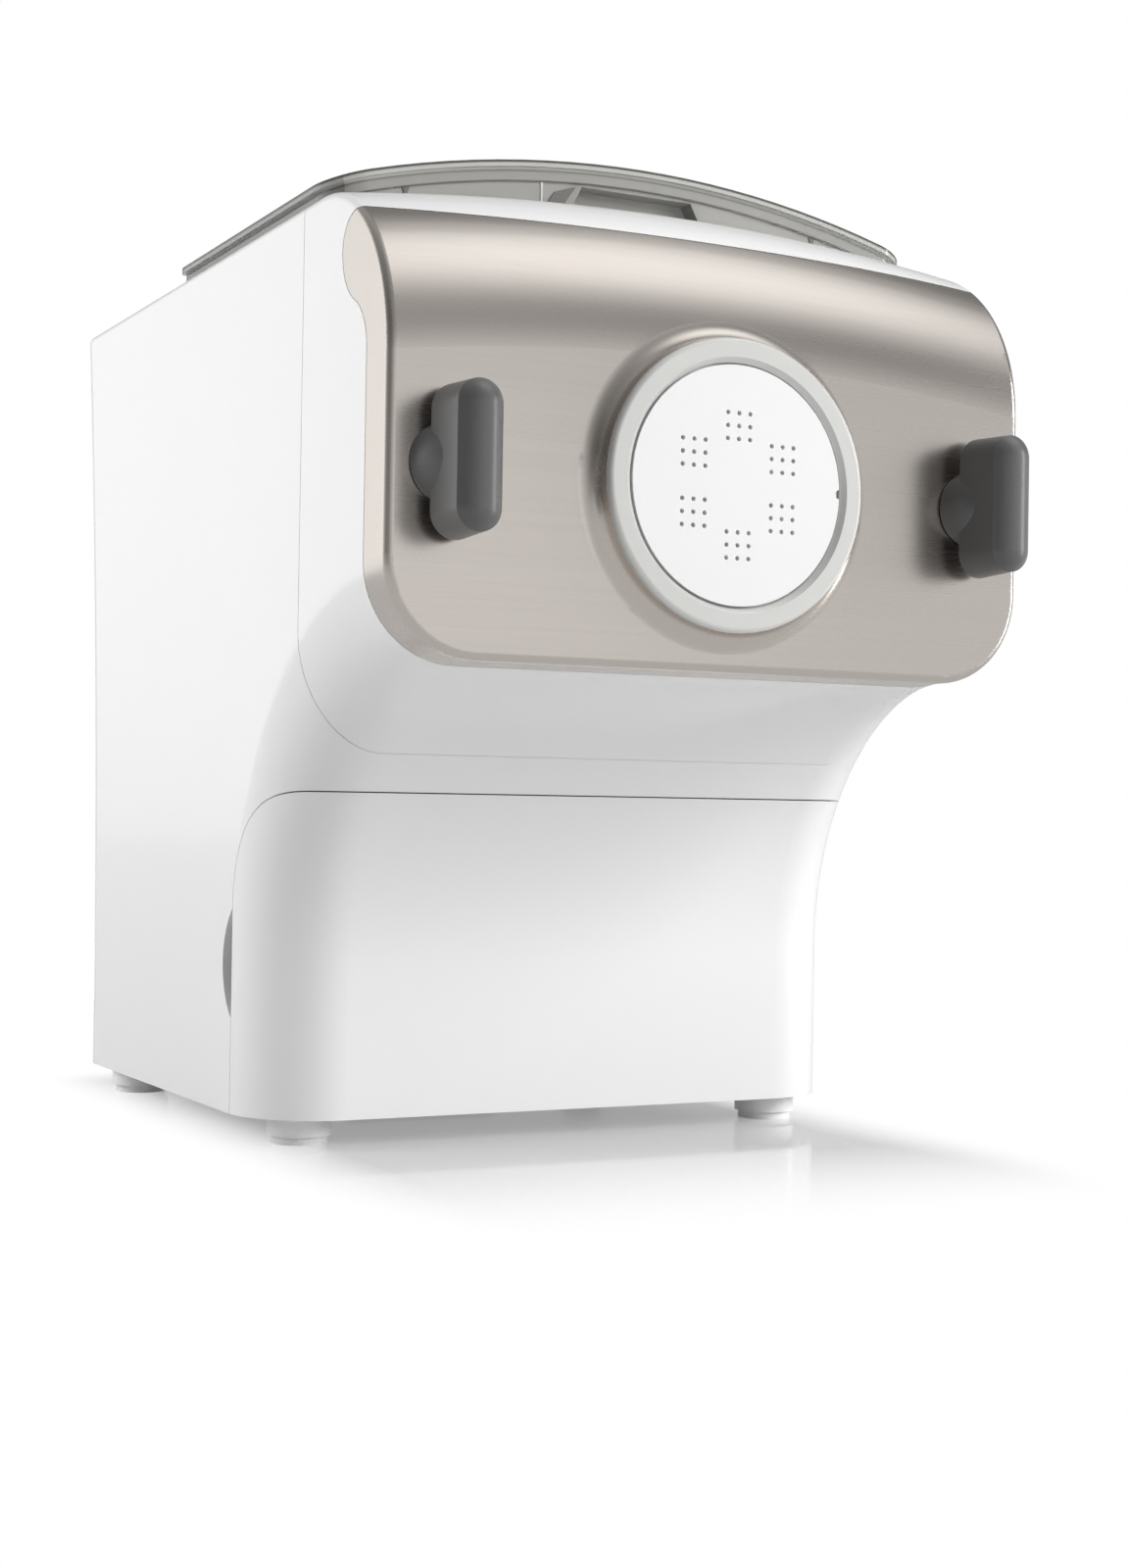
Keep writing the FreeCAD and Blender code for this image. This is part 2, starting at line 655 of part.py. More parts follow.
def base_plate():
    plate = footprint(BASE_REBATE + SEAM, BODY_BOTTOM, BODY_BOTTOM + BASE_THICKNESS)
    solids = [plate]
    for x, y in foot_places():
        solids.append(rod_z(x, y, FOOT_STEM + 2.5, BODY_BOTTOM, BODY_BOTTOM + FOOT_BOSS))
    for x, y in base_screw_places():
        solids.append(rod_z(x, y, SCREW_HOLE + 2, BODY_BOTTOM, BODY_BOTTOM + FOOT_BOSS))
    plate = joined(solids)
    holes = [rod_z(x, y, FOOT_STEM + SCREW_CLEARANCE, 0, BODY_BOTTOM + FOOT_BOSS + 1)
             for x, y in foot_places()]
    for x, y in base_screw_places():
        holes.append(rod_z(x, y, SCREW_HOLE, 0, BODY_BOTTOM + FOOT_BOSS + 1))
        holes.append(rod_z(x, y, SCREW_HEAD + FIT, 0, BODY_BOTTOM + 2))
    for row in range(VENT_ROWS):
        y = BACK_BOTTOM - 81 + row * VENT_PITCH / 2
        holes.append(box(-30, 30, y, y + VENT_WIDTH, 0, BODY_BOTTOM + BASE_THICKNESS + 1))
    return plate.cut(joined(holes))


def foot_places():
    return [(side * x, y) for x, y in (FRONT_FOOT, BACK_FOOT) for side in LEFT_AND_RIGHT]


def base_screw_places():
    rows = (CHASSIS_FRONT + 10.7, BACK_BOTTOM - 19)
    return [(side * 60, y) for side in LEFT_AND_RIGHT for y in rows]


def base_screws():
    screws = []
    for x, y in base_screw_places():
        head = rod_z(x, y, SCREW_HEAD, BODY_BOTTOM + 0.4, BODY_BOTTOM + 1.8)
        shank = rod_z(x, y, SCREW_HOLE - FIT, BODY_BOTTOM + 1.5, BODY_BOTTOM + FOOT_BOSS + 4)
        screws.append(head.fuse(shank))
    return Part.makeCompound(screws)


def foot(x, y):
    pad = rod_z(x, y, FOOT_RADIUS, FOOT_RIM_HEIGHT, BODY_BOTTOM - FIT)
    rim = rod_z(x, y, FOOT_RIM_RADIUS, 0, FOOT_RIM_HEIGHT)
    stem = rod_z(x, y, FOOT_STEM, BODY_BOTTOM - FIT, BODY_BOTTOM + FOOT_BOSS)
    return joined([pad, rim, stem])


# The front panel and what it carries

def front_panel():
    skin = rounded_casing().cut(casing(PANEL_SKIN)).common(PANEL_SPACE)
    skin = skin.fuse(panel_neck()).removeSplitter()
    holes = [rod_y(0, AXIS_HEIGHT, COLLAR_SPIGOT + FIT, COLLAR_FRONT, FACE_Y + PANEL_SKIN + 1)]
    for side in LEFT_AND_RIGHT:
        holes.append(rod_y(side * KNOB_OFFSET, AXIS_HEIGHT, KNOB_STEM_RADIUS + FIT,
                           FACE_Y - 1, FACE_Y + PANEL_SKIN + 1))
    return skin.cut(joined(holes))


def at_radius(radius, y):
    """A point of a section that is turned about the extrusion axis."""
    return V(radius, y, AXIS_HEIGHT)


def turned(edges):
    section = Part.Face(Part.Wire(edges))
    return section.revolve(V(0, 0, AXIS_HEIGHT), V(0, 1, 0), 360)


def panel_neck():
    """The flared neck that the panel's metal forms round the ring."""
    flare = FACE_Y - NECK_FRONT
    foot_radius = NECK_RADIUS + flare
    inner = COLLAR_SPIGOT - 1
    drop = flare * (1 - math.cos(math.radians(45)))
    back = FACE_Y + PANEL_SKIN
    front_out = at_radius(NECK_RADIUS, NECK_FRONT)
    middle = at_radius(NECK_RADIUS + drop, FACE_Y - drop)
    foot_front = at_radius(foot_radius, FACE_Y)
    foot_back = at_radius(foot_radius, back)
    inner_back = at_radius(inner, back)
    inner_front = at_radius(inner, NECK_FRONT)
    return turned([arc(front_out, middle, foot_front),
                   line(foot_front, foot_back),
                   line(foot_back, inner_back),
                   line(inner_back, inner_front),
                   line(inner_front, front_out)])


def panel_carrier():
    inset = PANEL_SKIN + FIT
    depth = 4.0
    front = FACE_Y + inset
    back = BULKHEAD_FRONT - 3.1
    block = casing(inset).common(box(-HALF, HALF, FACE_Y - 5, back, 0, CENTRE_TOP))
    block = block.common(in_front_of_panel_seam(-0.5))
    hollow = casing(inset + 3).common(box(-HALF, HALF, front + depth, back + 5, 0, CENTRE_TOP + 5))
    body = block.cut(hollow)
    solids = [body, rod_y(0, AXIS_HEIGHT, DISC_FLANGE, DISC_BACK, front + depth)]
    solids.append(rod_y(0, AXIS_HEIGHT, TUBE_FLANGE + 4, front, back))
    for side in LEFT_AND_RIGHT:
        solids.append(rod_y(side * KNOB_OFFSET, AXIS_HEIGHT, KNOB_STEM_RADIUS + 3, front, back))
    for height in (-32, 32):
        solids.append(box(-HALF + 12, HALF - 12, front, back, AXIS_HEIGHT + height - 1,
                          AXIS_HEIGHT + height + 1))
    body = joined(solids)
    body = body.cut(rod_y(0, AXIS_HEIGHT, TUBE_FLANGE + FIT, DISC_BACK - 1, back + 1))
    for side in LEFT_AND_RIGHT:
        body = body.cut(rod_y(side * KNOB_OFFSET, AXIS_HEIGHT, KNOB_STEM_RADIUS + SHAFT_CLEARANCE,
                              front - 1, back + 1))
    return body


def panel_collar():
    """The pale ring: a flat rim on the neck, a sleeve inside it and a lip over the disc."""
    cut = RING_EDGE * (1 - math.cos(math.radians(45)))
    ring_back = NECK_FRONT - SEAM / 2
    lip_back = DISC_FRONT + DISC_THICKNESS / 2 - FIT
    sleeve_back = FACE_Y + PANEL_SKIN
    sleeve_bore = DISC_FLANGE + FIT
    rim_out = at_radius(COLLAR_RADIUS, COLLAR_FRONT + RING_EDGE)
    rim_middle = at_radius(COLLAR_RADIUS - cut, COLLAR_FRONT + cut)
    rim_front = at_radius(COLLAR_RADIUS - RING_EDGE, COLLAR_FRONT)
    bevel_front = at_radius(COLLAR_BORE + RING_EDGE, COLLAR_FRONT)
    bevel_back = at_radius(COLLAR_BORE, COLLAR_FRONT + RING_EDGE)
    lip_in = at_radius(COLLAR_BORE, lip_back)
    lip_out = at_radius(sleeve_bore, lip_back)
    bore_end = at_radius(sleeve_bore, sleeve_back)
    sleeve_end = at_radius(COLLAR_SPIGOT, sleeve_back)
    sleeve_start = at_radius(COLLAR_SPIGOT, ring_back)
    ring_end = at_radius(COLLAR_RADIUS, ring_back)
    return turned([arc(rim_out, rim_middle, rim_front),
                   line(rim_front, bevel_front),
                   line(bevel_front, bevel_back),
                   line(bevel_back, lip_in),
                   line(lip_in, lip_out),
                   line(lip_out, bore_end),
                   line(bore_end, sleeve_end),
                   line(sleeve_end, sleeve_start),
                   line(sleeve_start, ring_end),
                   line(ring_end, rim_out)])


def blank_disc():
    """A shaping disc without its dough holes, on the extrusion axis."""
    face = rod_y(0, AXIS_HEIGHT, DISC_RADIUS, DISC_FRONT, DISC_BACK)
    flange = rod_y(0, AXIS_HEIGHT, DISC_FLANGE, DISC_FRONT + DISC_THICKNESS / 2, DISC_BACK)
    disc = joined([face, flange])
    notch = rod_y(DISC_RADIUS, AXIS_HEIGHT, DISC_HOLE, DISC_FRONT - 1, DISC_FRONT + 1.5)
    return disc.cut(notch)


def disc_group_places():
    places = []
    for group in range(DISC_GROUPS):
        angle = math.radians(90 + group * 360 / DISC_GROUPS)
        places.append((DISC_GROUP_RADIUS * math.cos(angle), DISC_GROUP_RADIUS * math.sin(angle)))
    return places


def shaping_disc():
    holes = []
    middle = (DISC_ROWS - 1) / 2
    for x, z in disc_group_places():
        for column in range(DISC_ROWS):
            for row in range(DISC_ROWS):
                hole_x = x + (column - middle) * DISC_HOLE_PITCH
                hole_z = AXIS_HEIGHT + z + (row - middle) * DISC_HOLE_PITCH
                holes.append(rod_y(hole_x, hole_z, DISC_HOLE / 2, DISC_FRONT - 1, DISC_BACK + 1))
    return blank_disc().cut(Part.makeCompound(holes))


def grip_section(x, z):
    """Half of the grip's section: a crowned front, a small edge and a side with draft."""
    front_half = KNOB_GRIP_WIDTH / 2
    back_half = front_half + KNOB_DRAFT
    back = FACE_Y - KNOB_GRIP_START
    crown_half = front_half - KNOB_EDGE
    crown_radius = (crown_half ** 2 + KNOB_CROWN ** 2) / (2 * KNOB_CROWN)
    lean = math.asin(crown_half / crown_radius) / 2
    crown_end = KNOB_FACE + KNOB_CROWN
    middle = V(x, KNOB_FACE, z)
    crown_middle = V(x + crown_radius * math.sin(lean),
                     KNOB_FACE + crown_radius * (1 - math.cos(lean)), z)
    crown_side = V(x + crown_half, crown_end, z)
    front_side = V(x + front_half, crown_end + KNOB_EDGE, z)
    back_side = V(x + back_half, back - KNOB_BACK_EDGE, z)
    back_in = V(x + back_half - KNOB_BACK_EDGE, back, z)
    centre_back = V(x, back, z)
    return [arc(middle, crown_middle, crown_side),
            line(crown_side, front_side),
            line(front_side, back_side),
            line(back_side, back_in),
            line(back_in, centre_back),
            line(centre_back, middle)]


def knob_grip(x):
    """The upright bar: a straight middle and two turned ends."""
    half = (KNOB_GRIP_LENGTH - KNOB_GRIP_WIDTH) / 2
    right = Part.Face(Part.Wire(grip_section(x, AXIS_HEIGHT - half))).extrude(V(0, 0, 2 * half))
    left = right.mirror(V(x, 0, 0), V(1, 0, 0))
    solids = [right, left]
    for side in LEFT_AND_RIGHT:
        z = AXIS_HEIGHT + side * half
        section = Part.Face(Part.Wire(grip_section(x, z)))
        solids.append(section.revolve(V(x, 0, z), V(0, -side, 0), 180))
    return joined(solids)


def knob_base(x):
    """The round foot of the knob: a thin rim and a dome that runs up into the grip."""
    face = FACE_Y - KNOB_GAP
    rim_front = face - KNOB_BASE_RIM
    dome_front = face - KNOB_DOME_HEIGHT
    lean = math.atan2(KNOB_DOME_HEIGHT - KNOB_BASE_RIM, KNOB_BASE_RADIUS - KNOB_DOME_END)
    middle_radius = (KNOB_BASE_RADIUS + KNOB_DOME_END) / 2 + KNOB_DOME_BULGE * math.sin(lean)
    middle_y = (rim_front + dome_front) / 2 - KNOB_DOME_BULGE * math.cos(lean)
    centre_back = V(x, face, AXIS_HEIGHT)
    rim_back = V(x + KNOB_BASE_RADIUS, face, AXIS_HEIGHT)
    rim_edge = V(x + KNOB_BASE_RADIUS, rim_front, AXIS_HEIGHT)
    dome_middle = V(x + middle_radius, middle_y, AXIS_HEIGHT)
    dome_end = V(x + KNOB_DOME_END, dome_front, AXIS_HEIGHT)
    centre_front = V(x, dome_front, AXIS_HEIGHT)
    edges = [line(centre_back, rim_back),
             line(rim_back, rim_edge),
             arc(rim_edge, dome_middle, dome_end),
             line(dome_end, centre_front),
             line(centre_front, centre_back)]
    return Part.Face(Part.Wire(edges)).revolve(V(x, 0, AXIS_HEIGHT), V(0, 1, 0), 360)


def knob(x):
    neck = rod_y(x, AXIS_HEIGHT, KNOB_STEM_RADIUS, FACE_Y - KNOB_GRIP_START - 3, STEM_END)
    body = joined([knob_grip(x), knob_base(x), neck])
    return body.cut(rod_y(x, AXIS_HEIGHT, SCREW_RADIUS + SHAFT_CLEARANCE, FACE_Y + 2, STEM_END + 1))


def knob_screw(x):
    end = STEM_END + SCREW_LENGTH
    rod = rod_y(x, AXIS_HEIGHT, SCREW_RADIUS, FACE_Y + 2.5, end)
    tip = [e for e in rod.Edges if abs(e.CenterOfMass.y - end) < EPS]
    rod = rod.makeChamfer(1.0, tip)
    flange = rod_y(x, AXIS_HEIGHT, KNOB_STEM_RADIUS + 2, STEM_END + FIT, STEM_END + FIT + 1.6)
    return joined([rod, flange])


def lock_nut(x):
    outer = rod_y(x, AXIS_HEIGHT, NUT_RADIUS, BULKHEAD_FRONT, BULKHEAD_FRONT + NUT_LENGTH)
    return outer.cut(rod_y(x, AXIS_HEIGHT, SCREW_RADIUS + SCREW_CLEARANCE, BULKHEAD_FRONT - 1,
                           BULKHEAD_FRONT + NUT_LENGTH + 1))


def extrusion_tube():
    back = CHAMBER_FRONT + CHAMBER_END_WALL
    outer = TUBE_BORE + TUBE_WALL
    tube = rod_y(0, AXIS_HEIGHT, outer, TUBE_FRONT, back)
    front_flange = rod_y(0, AXIS_HEIGHT, TUBE_FLANGE, TUBE_FRONT, TUBE_FRONT + 3)
    rear_flange = rod_y(0, AXIS_HEIGHT, TUBE_FLANGE, CHAMBER_FRONT - 3 - FIT, CHAMBER_FRONT - FIT)
    body = joined([tube, front_flange, rear_flange])
    return body.cut(rod_y(0, AXIS_HEIGHT, TUBE_BORE, TUBE_FRONT - 1, back + 1))


def mixing_chamber():
    outer = chamber_mouth(CHAMBER_RADIUS + CHAMBER_WALL, CHAMBER_FRONT, CHAMBER_BACK, CHAMBER_TOP)
    outer = outer.common(casing(BAY_INSET + LINER_WALL + FIT))
    inner = chamber_mouth(CHAMBER_RADIUS, CHAMBER_FRONT + CHAMBER_END_WALL,
                          CHAMBER_BACK - CHAMBER_END_WALL, CHAMBER_TOP + 1)
    body = outer.cut(inner)
    body = body.cut(rod_y(0, AXIS_HEIGHT, TUBE_BORE + TUBE_WALL + SCREW_CLEARANCE, CHAMBER_FRONT - 1,
                          CHAMBER_FRONT + CHAMBER_END_WALL + 1))
    return body.cut(rod_y(0, AXIS_HEIGHT, SEAL_RADIUS + SHAFT_CLEARANCE,
                          CHAMBER_BACK - CHAMBER_END_WALL - 1, CHAMBER_BACK + 1))


def chamber_seal():
    y0 = CHAMBER_BACK - CHAMBER_END_WALL
    collar = ring_y(0, AXIS_HEIGHT, SEAL_RADIUS, JOURNAL_RADIUS + SHAFT_CLEARANCE, y0, CHAMBER_BACK)
    lip = ring_y(0, AXIS_HEIGHT, SEAL_RADIUS + 2, JOURNAL_RADIUS + SHAFT_CLEARANCE, y0 - 1.5 - FIT, y0 - FIT)
    joint = ring_y(0, AXIS_HEIGHT, SEAL_RADIUS - 1, JOURNAL_RADIUS + SHAFT_CLEARANCE, y0 - 1, y0 + 1)
    return joined([collar, lip, joint])


def drive_shaft():
    journal = rod_y(0, AXIS_HEIGHT, JOURNAL_RADIUS, CHAMBER_BACK - 8, COVER_BACK)
    drive = hexagon(HEX_ACROSS, TUBE_FRONT + 10, CHAMBER_BACK - 7)
    return joined([journal, drive])


def mixing_paddle():
    hub_front = CHAMBER_FRONT + CHAMBER_END_WALL + AUGER_INSIDE + FIT
    hub_back = CHAMBER_BACK - 8 - FIT
    reach = CHAMBER_RADIUS - ARM_SWEEP_GAP
    solids = [rod_y(0, AXIS_HEIGHT, HUB_RADIUS, hub_front, hub_back)]
    spacing = (hub_back - hub_front) / ARM_COUNT
    for index in range(ARM_COUNT):
        y = hub_front + (index + 0.5) * spacing
        arm = box(-ARM_THICKNESS / 2, ARM_THICKNESS / 2, y - ARM_WIDTH / 2, y + ARM_WIDTH / 2,
                  AXIS_HEIGHT, AXIS_HEIGHT + reach - 3)
        shoe = ring_y(0, AXIS_HEIGHT, reach, reach - 5, y - ARM_WIDTH, y + ARM_WIDTH)
        shoe = shoe.common(box(-11, 11, y - ARM_WIDTH, y + ARM_WIDTH, AXIS_HEIGHT,
                               AXIS_HEIGHT + reach + 1))
        blade = arm.fuse(shoe)
        blade.rotate(V(0, y, AXIS_HEIGHT), V(0, 1, 0), index * ARM_TWIST)
        solids.append(blade)
    body = joined(solids)
    return body.cut(hexagon(HEX_ACROSS + 2 * HEX_CLEARANCE, hub_front - 1, hub_back + 1))


def auger():
    """A core with one helical flight, which ends a little way inside the chamber."""
    start = TUBE_FRONT + 3
    end = CHAMBER_FRONT + CHAMBER_END_WALL + AUGER_INSIDE
    outer = TUBE_BORE - AUGER_CLEARANCE
    core = rod_y(0, AXIS_HEIGHT, AUGER_CORE, start, end)
    height = end - start - AUGER_FLIGHT
    helix = Part.makeHelix(AUGER_PITCH, height, AUGER_CORE - 1)
    inner = AUGER_CORE - 2
    section = Part.makePolygon([V(inner, 0, -AUGER_FLIGHT / 2), V(outer, 0, -AUGER_FLIGHT / 4),
                                V(outer, 0, AUGER_FLIGHT / 4), V(inner, 0, AUGER_FLIGHT / 2),
                                V(inner, 0, -AUGER_FLIGHT / 2)])
    flight = Part.Wire(helix).makePipeShell([section], True, True)
    flight.translate(V(0, 0, AUGER_FLIGHT / 2))
    flight.rotate(V(0, 0, 0), V(1, 0, 0), -90)
    flight.translate(V(0, start, AXIS_HEIGHT))
    body = joined([core, flight])
    return body.cut(hexagon(HEX_ACROSS + 2 * HEX_CLEARANCE, start - 1, end + 1))


# The chassis and the bay that holds the chamber

def chamber_bay():
    front = BULKHEAD_BACK + FIT
    back = CHAMBER_BACK + LINER_GAP
    outer = chamber_mouth(LINER_OUTER, front, back + LINER_WALL, CENTRE_TOP)
    outer = outer.common(casing_top(BAY_INSET))
    inner = chamber_mouth(BAY_HALF, front - 1, back, CENTRE_TOP + 1)
    body = outer.cut(inner)
    return body.cut(rod_y(0, AXIS_HEIGHT, JOURNAL_RADIUS + 1, back - 1, back + LINER_WALL + 1))


def chassis():
    wall_front = CHASSIS_FRONT
    wall_back = wall_front + WALL
    shelf_low = DRAWER_TOP_SEAM + WALL
    inside = casing(WALL + FIT)
    wall = inside.common(box(-HALF, HALF, wall_front, wall_back, BODY_BOTTOM + BASE_THICKNESS + FIT,
                             CENTRE_TOP))
    shelf = inside.common(box(-HALF, HALF, -60, wall_back, shelf_low, shelf_low + WALL))
    solids = [wall, shelf]
    for y in (SADDLE_FRONT, SADDLE_BACK):
        saddle = box(-SADDLE_HALF, SADDLE_HALF, y, y + 4, shelf_low, AXIS_HEIGHT - 20)
        solids.append(saddle.common(inside).cut(rod_y(0, AXIS_HEIGHT, LINER_OUTER + FIT, y - 1, y + 5)))
    body = joined(solids)
    body = body.cut(rod_y(0, AXIS_HEIGHT, JOURNAL_RADIUS + 1, wall_front - 1, wall_back + 1))
    return body.cut(box(-HALF, HALF, -60, HOUSING_SEAM + 2, 0, CENTRE_TOP))


# The drive

def offset_point(start, distance, angle):
    turn = math.radians(angle)
    return (start[0] + distance * math.sin(turn), start[1] + distance * math.cos(turn))


def meeting_point(first, first_distance, second, second_distance):
    """The point at these distances from two centres, on the left of the line between them."""
    dx = second[0] - first[0]
    dz = second[1] - first[1]
    apart = math.hypot(dx, dz)
    along = (first_distance ** 2 - second_distance ** 2 + apart ** 2) / (2 * apart)
    aside = math.sqrt(first_distance ** 2 - along ** 2)
    ux = dx / apart
    uz = dz / apart
    return (first[0] + along * ux - aside * uz, first[1] + along * uz + aside * ux)


def centre_distance(module, first_teeth, second_teeth):
    return module * (first_teeth + second_teeth) / 2


MOTOR_AXIS = (0.0, MOTOR_HEIGHT)
FIRST_AXIS = offset_point(MOTOR_AXIS, centre_distance(FIRST_MODULE, PINION_TEETH, FIRST_TEETH),
                          FIRST_AXLE_BEARING)
OUTPUT_AXIS = (0.0, AXIS_HEIGHT)
SECOND_AXIS = meeting_point(FIRST_AXIS, centre_distance(SECOND_MODULE, SMALL_TEETH, LARGE_TEETH),
                            OUTPUT_AXIS, centre_distance(THIRD_MODULE, SMALL_TEETH, LARGE_TEETH))


def gear(axis, module, teeth, y0, phase):
    """A spur gear with slim straight-sided teeth, so that it runs freely at every angle."""
    tip = module * teeth / 2 + 0.7 * module
    root = module * teeth / 2 - 1.1 * module
    step = 2 * math.pi / teeth
    points = []
    for index in range(teeth):
        centre = math.radians(phase) + index * step
        for radius, offset in ((root, -0.27), (tip, -0.12), (tip, 0.12), (root, 0.27)):
            angle = centre + offset * step
            points.append((axis[0] + radius * math.cos(angle), axis[1] + radius * math.sin(angle)))
    return front_prism(points, y0, y0 + GEAR_WIDTH)


def meshed_phase(first, first_phase, first_teeth, second, second_teeth):
    """The angle of the second gear at which its gap meets the first gear's tooth."""
    line_angle = math.degrees(math.atan2(second[1] - first[1], second[0] - first[0]))
    share = (line_angle - first_phase) * first_teeth / 360
    return line_angle + 180 + (share - 0.5) * 360 / second_teeth


def first_gear():
    phase = meshed_phase(MOTOR_AXIS, 0, PINION_TEETH, FIRST_AXIS, FIRST_TEETH)
    large = gear(FIRST_AXIS, FIRST_MODULE, FIRST_TEETH, LAYER_1, phase)
    small = gear(FIRST_AXIS, SECOND_MODULE, SMALL_TEETH, LAYER_2, 0)
    collar = rod_y(FIRST_AXIS[0], FIRST_AXIS[1], AXLE_RADIUS + 2.5, LAYER_2, LAYER_1 + 1)
    body = joined([large, small, collar])
    return body.cut(rod_y(FIRST_AXIS[0], FIRST_AXIS[1], AXLE_RADIUS + AXLE_CLEARANCE,
                          LAYER_3, LAYER_1 + GEAR_WIDTH + 1))


def second_gear():
    phase = meshed_phase(FIRST_AXIS, 0, SMALL_TEETH, SECOND_AXIS, LARGE_TEETH)
    large = gear(SECOND_AXIS, SECOND_MODULE, LARGE_TEETH, LAYER_2, phase)
    small = gear(SECOND_AXIS, THIRD_MODULE, SMALL_TEETH, LAYER_3, 0)
    collar = rod_y(SECOND_AXIS[0], SECOND_AXIS[1], AXLE_RADIUS + 2.5, LAYER_3, LAYER_2 + 1)
    body = joined([large, small, collar])
    return body.cut(rod_y(SECOND_AXIS[0], SECOND_AXIS[1], AXLE_RADIUS + AXLE_CLEARANCE,
                          LAYER_3 - 1, LAYER_2 + GEAR_WIDTH + 1))


def output_gear():
    phase = meshed_phase(SECOND_AXIS, 0, SMALL_TEETH, OUTPUT_AXIS, LARGE_TEETH)
    body = gear(OUTPUT_AXIS, THIRD_MODULE, LARGE_TEETH, LAYER_3, phase)
    holes = [rod_y(0, AXIS_HEIGHT, JOURNAL_RADIUS + AXLE_CLEARANCE / 2, LAYER_3 - 1,
                   LAYER_3 + GEAR_WIDTH + 1)]
    for index in range(6):
        angle = math.radians(60 * index)
        reach = 22.0
        holes.append(rod_y(reach * math.cos(angle), AXIS_HEIGHT + reach * math.sin(angle), 5.0,
                           LAYER_3 - 1, LAYER_3 + GEAR_WIDTH + 1))
    return body.cut(Part.makeCompound(holes))


def motor_pinion():
    body = gear(MOTOR_AXIS, FIRST_MODULE, PINION_TEETH, LAYER_1, 0)
    return body.cut(rod_y(MOTOR_AXIS[0], MOTOR_AXIS[1], MOTOR_SHAFT + AXLE_CLEARANCE / 2, LAYER_1 - 1,
                          LAYER_1 + GEAR_WIDTH + 1))


def case_block(grow, y0, y1):
    large = THIRD_MODULE * LARGE_TEETH / 2 + THIRD_MODULE
    first = FIRST_MODULE * FIRST_TEETH / 2 + FIRST_MODULE
    second = SECOND_MODULE * LARGE_TEETH / 2 + SECOND_MODULE
    margin = 2 + grow
    left = min(-large, SECOND_AXIS[0] - second, FIRST_AXIS[0] - first) - margin
    right = max(large, SECOND_AXIS[0] + second, FIRST_AXIS[0] + first) + margin
    low = min(FIRST_AXIS[1] - first, MOTOR_AXIS[1] - BEARING_OUTER) - margin
    high = AXIS_HEIGHT + large + margin
    block = rounded_plan(left, right, -high, -low, y0, y1, CASE_CORNER + grow)
    block.rotate(V(0, 0, 0), V(1, 0, 0), -90)
    return block


def gearbox_case():
    front = CASE_FRONT
    body = case_block(CASE_WALL, front, COVER_FRONT - FIT)
    body = body.cut(case_block(0, front + CASE_WALL, COVER_FRONT + 1))
    solids = [body, rod_y(0, AXIS_HEIGHT, BEARING_OUTER + 3, front, front + BEARING_WIDTH)]
    for x, z in (FIRST_AXIS, SECOND_AXIS):
        solids.append(rod_y(x, z, AXLE_RADIUS + 2.5, front, front + CASE_WALL + 1.5))
    body = joined(solids)
    holes = [rod_y(0, AXIS_HEIGHT, BEARING_OUTER + SHAFT_CLEARANCE, front - 1, front + BEARING_WIDTH + 1)]
    for x, z in (FIRST_AXIS, SECOND_AXIS):
        holes.append(rod_y(x, z, AXLE_RADIUS + AXLE_CLEARANCE, front + 1, front + CASE_WALL + 2))
    return body.cut(Part.makeCompound(holes))


def gearbox_cover():
    body = case_block(CASE_WALL, COVER_FRONT, COVER_BACK)
    solids = [body, rod_y(0, AXIS_HEIGHT, BEARING_OUTER + 3, COVER_BACK - BEARING_WIDTH, COVER_BACK)]
    body = joined(solids)
    holes = [rod_y(0, AXIS_HEIGHT, BEARING_OUTER + SHAFT_CLEARANCE, COVER_BACK - BEARING_WIDTH - 1,
                   COVER_BACK + 1),
             rod_y(MOTOR_AXIS[0], MOTOR_AXIS[1], MOTOR_BEARING + FIT, COVER_FRONT - 1, COVER_BACK + 1)]
    for x, z in (FIRST_AXIS, SECOND_AXIS):
        holes.append(rod_y(x, z, AXLE_RADIUS + AXLE_CLEARANCE, COVER_FRONT - 1, COVER_BACK - 0.8))
    for x, z in cover_screw_places():
        holes.append(joined([rod_y(x, z, SCREW_HOLE, COVER_FRONT - 1, COVER_BACK),
                             rod_y(x, z, SCREW_HEAD + FIT, COVER_BACK - HEAD_SINK, COVER_BACK + 1)]))
    return body.cut(Part.makeCompound(holes))


def cover_screw_places():
    block = case_block(CASE_WALL, 0, 1).BoundBox
    inset = 9.5
    return [(x, z) for x in (block.XMin + inset, block.XMax - inset)
            for z in (block.ZMin + inset, block.ZMax - inset)]


def gearbox_screws():
    screws = []
    for x, z in cover_screw_places():
        head = rod_y(x, z, SCREW_HEAD, COVER_BACK - HEAD_SINK + FIT / 2, COVER_BACK)
        shank = rod_y(x, z, SCREW_HOLE - FIT, COVER_FRONT - 6, COVER_BACK - 1)
        screws.append(head.fuse(shank))
    return Part.makeCompound(screws)


def axle(axis):
    return rod_y(axis[0], axis[1], AXLE_RADIUS, CASE_FRONT + 1.2, COVER_BACK - 1.0)


def bearing(y0):
    return ring_y(0, AXIS_HEIGHT, BEARING_OUTER, JOURNAL_RADIUS + AXLE_CLEARANCE, y0, y0 + BEARING_WIDTH)


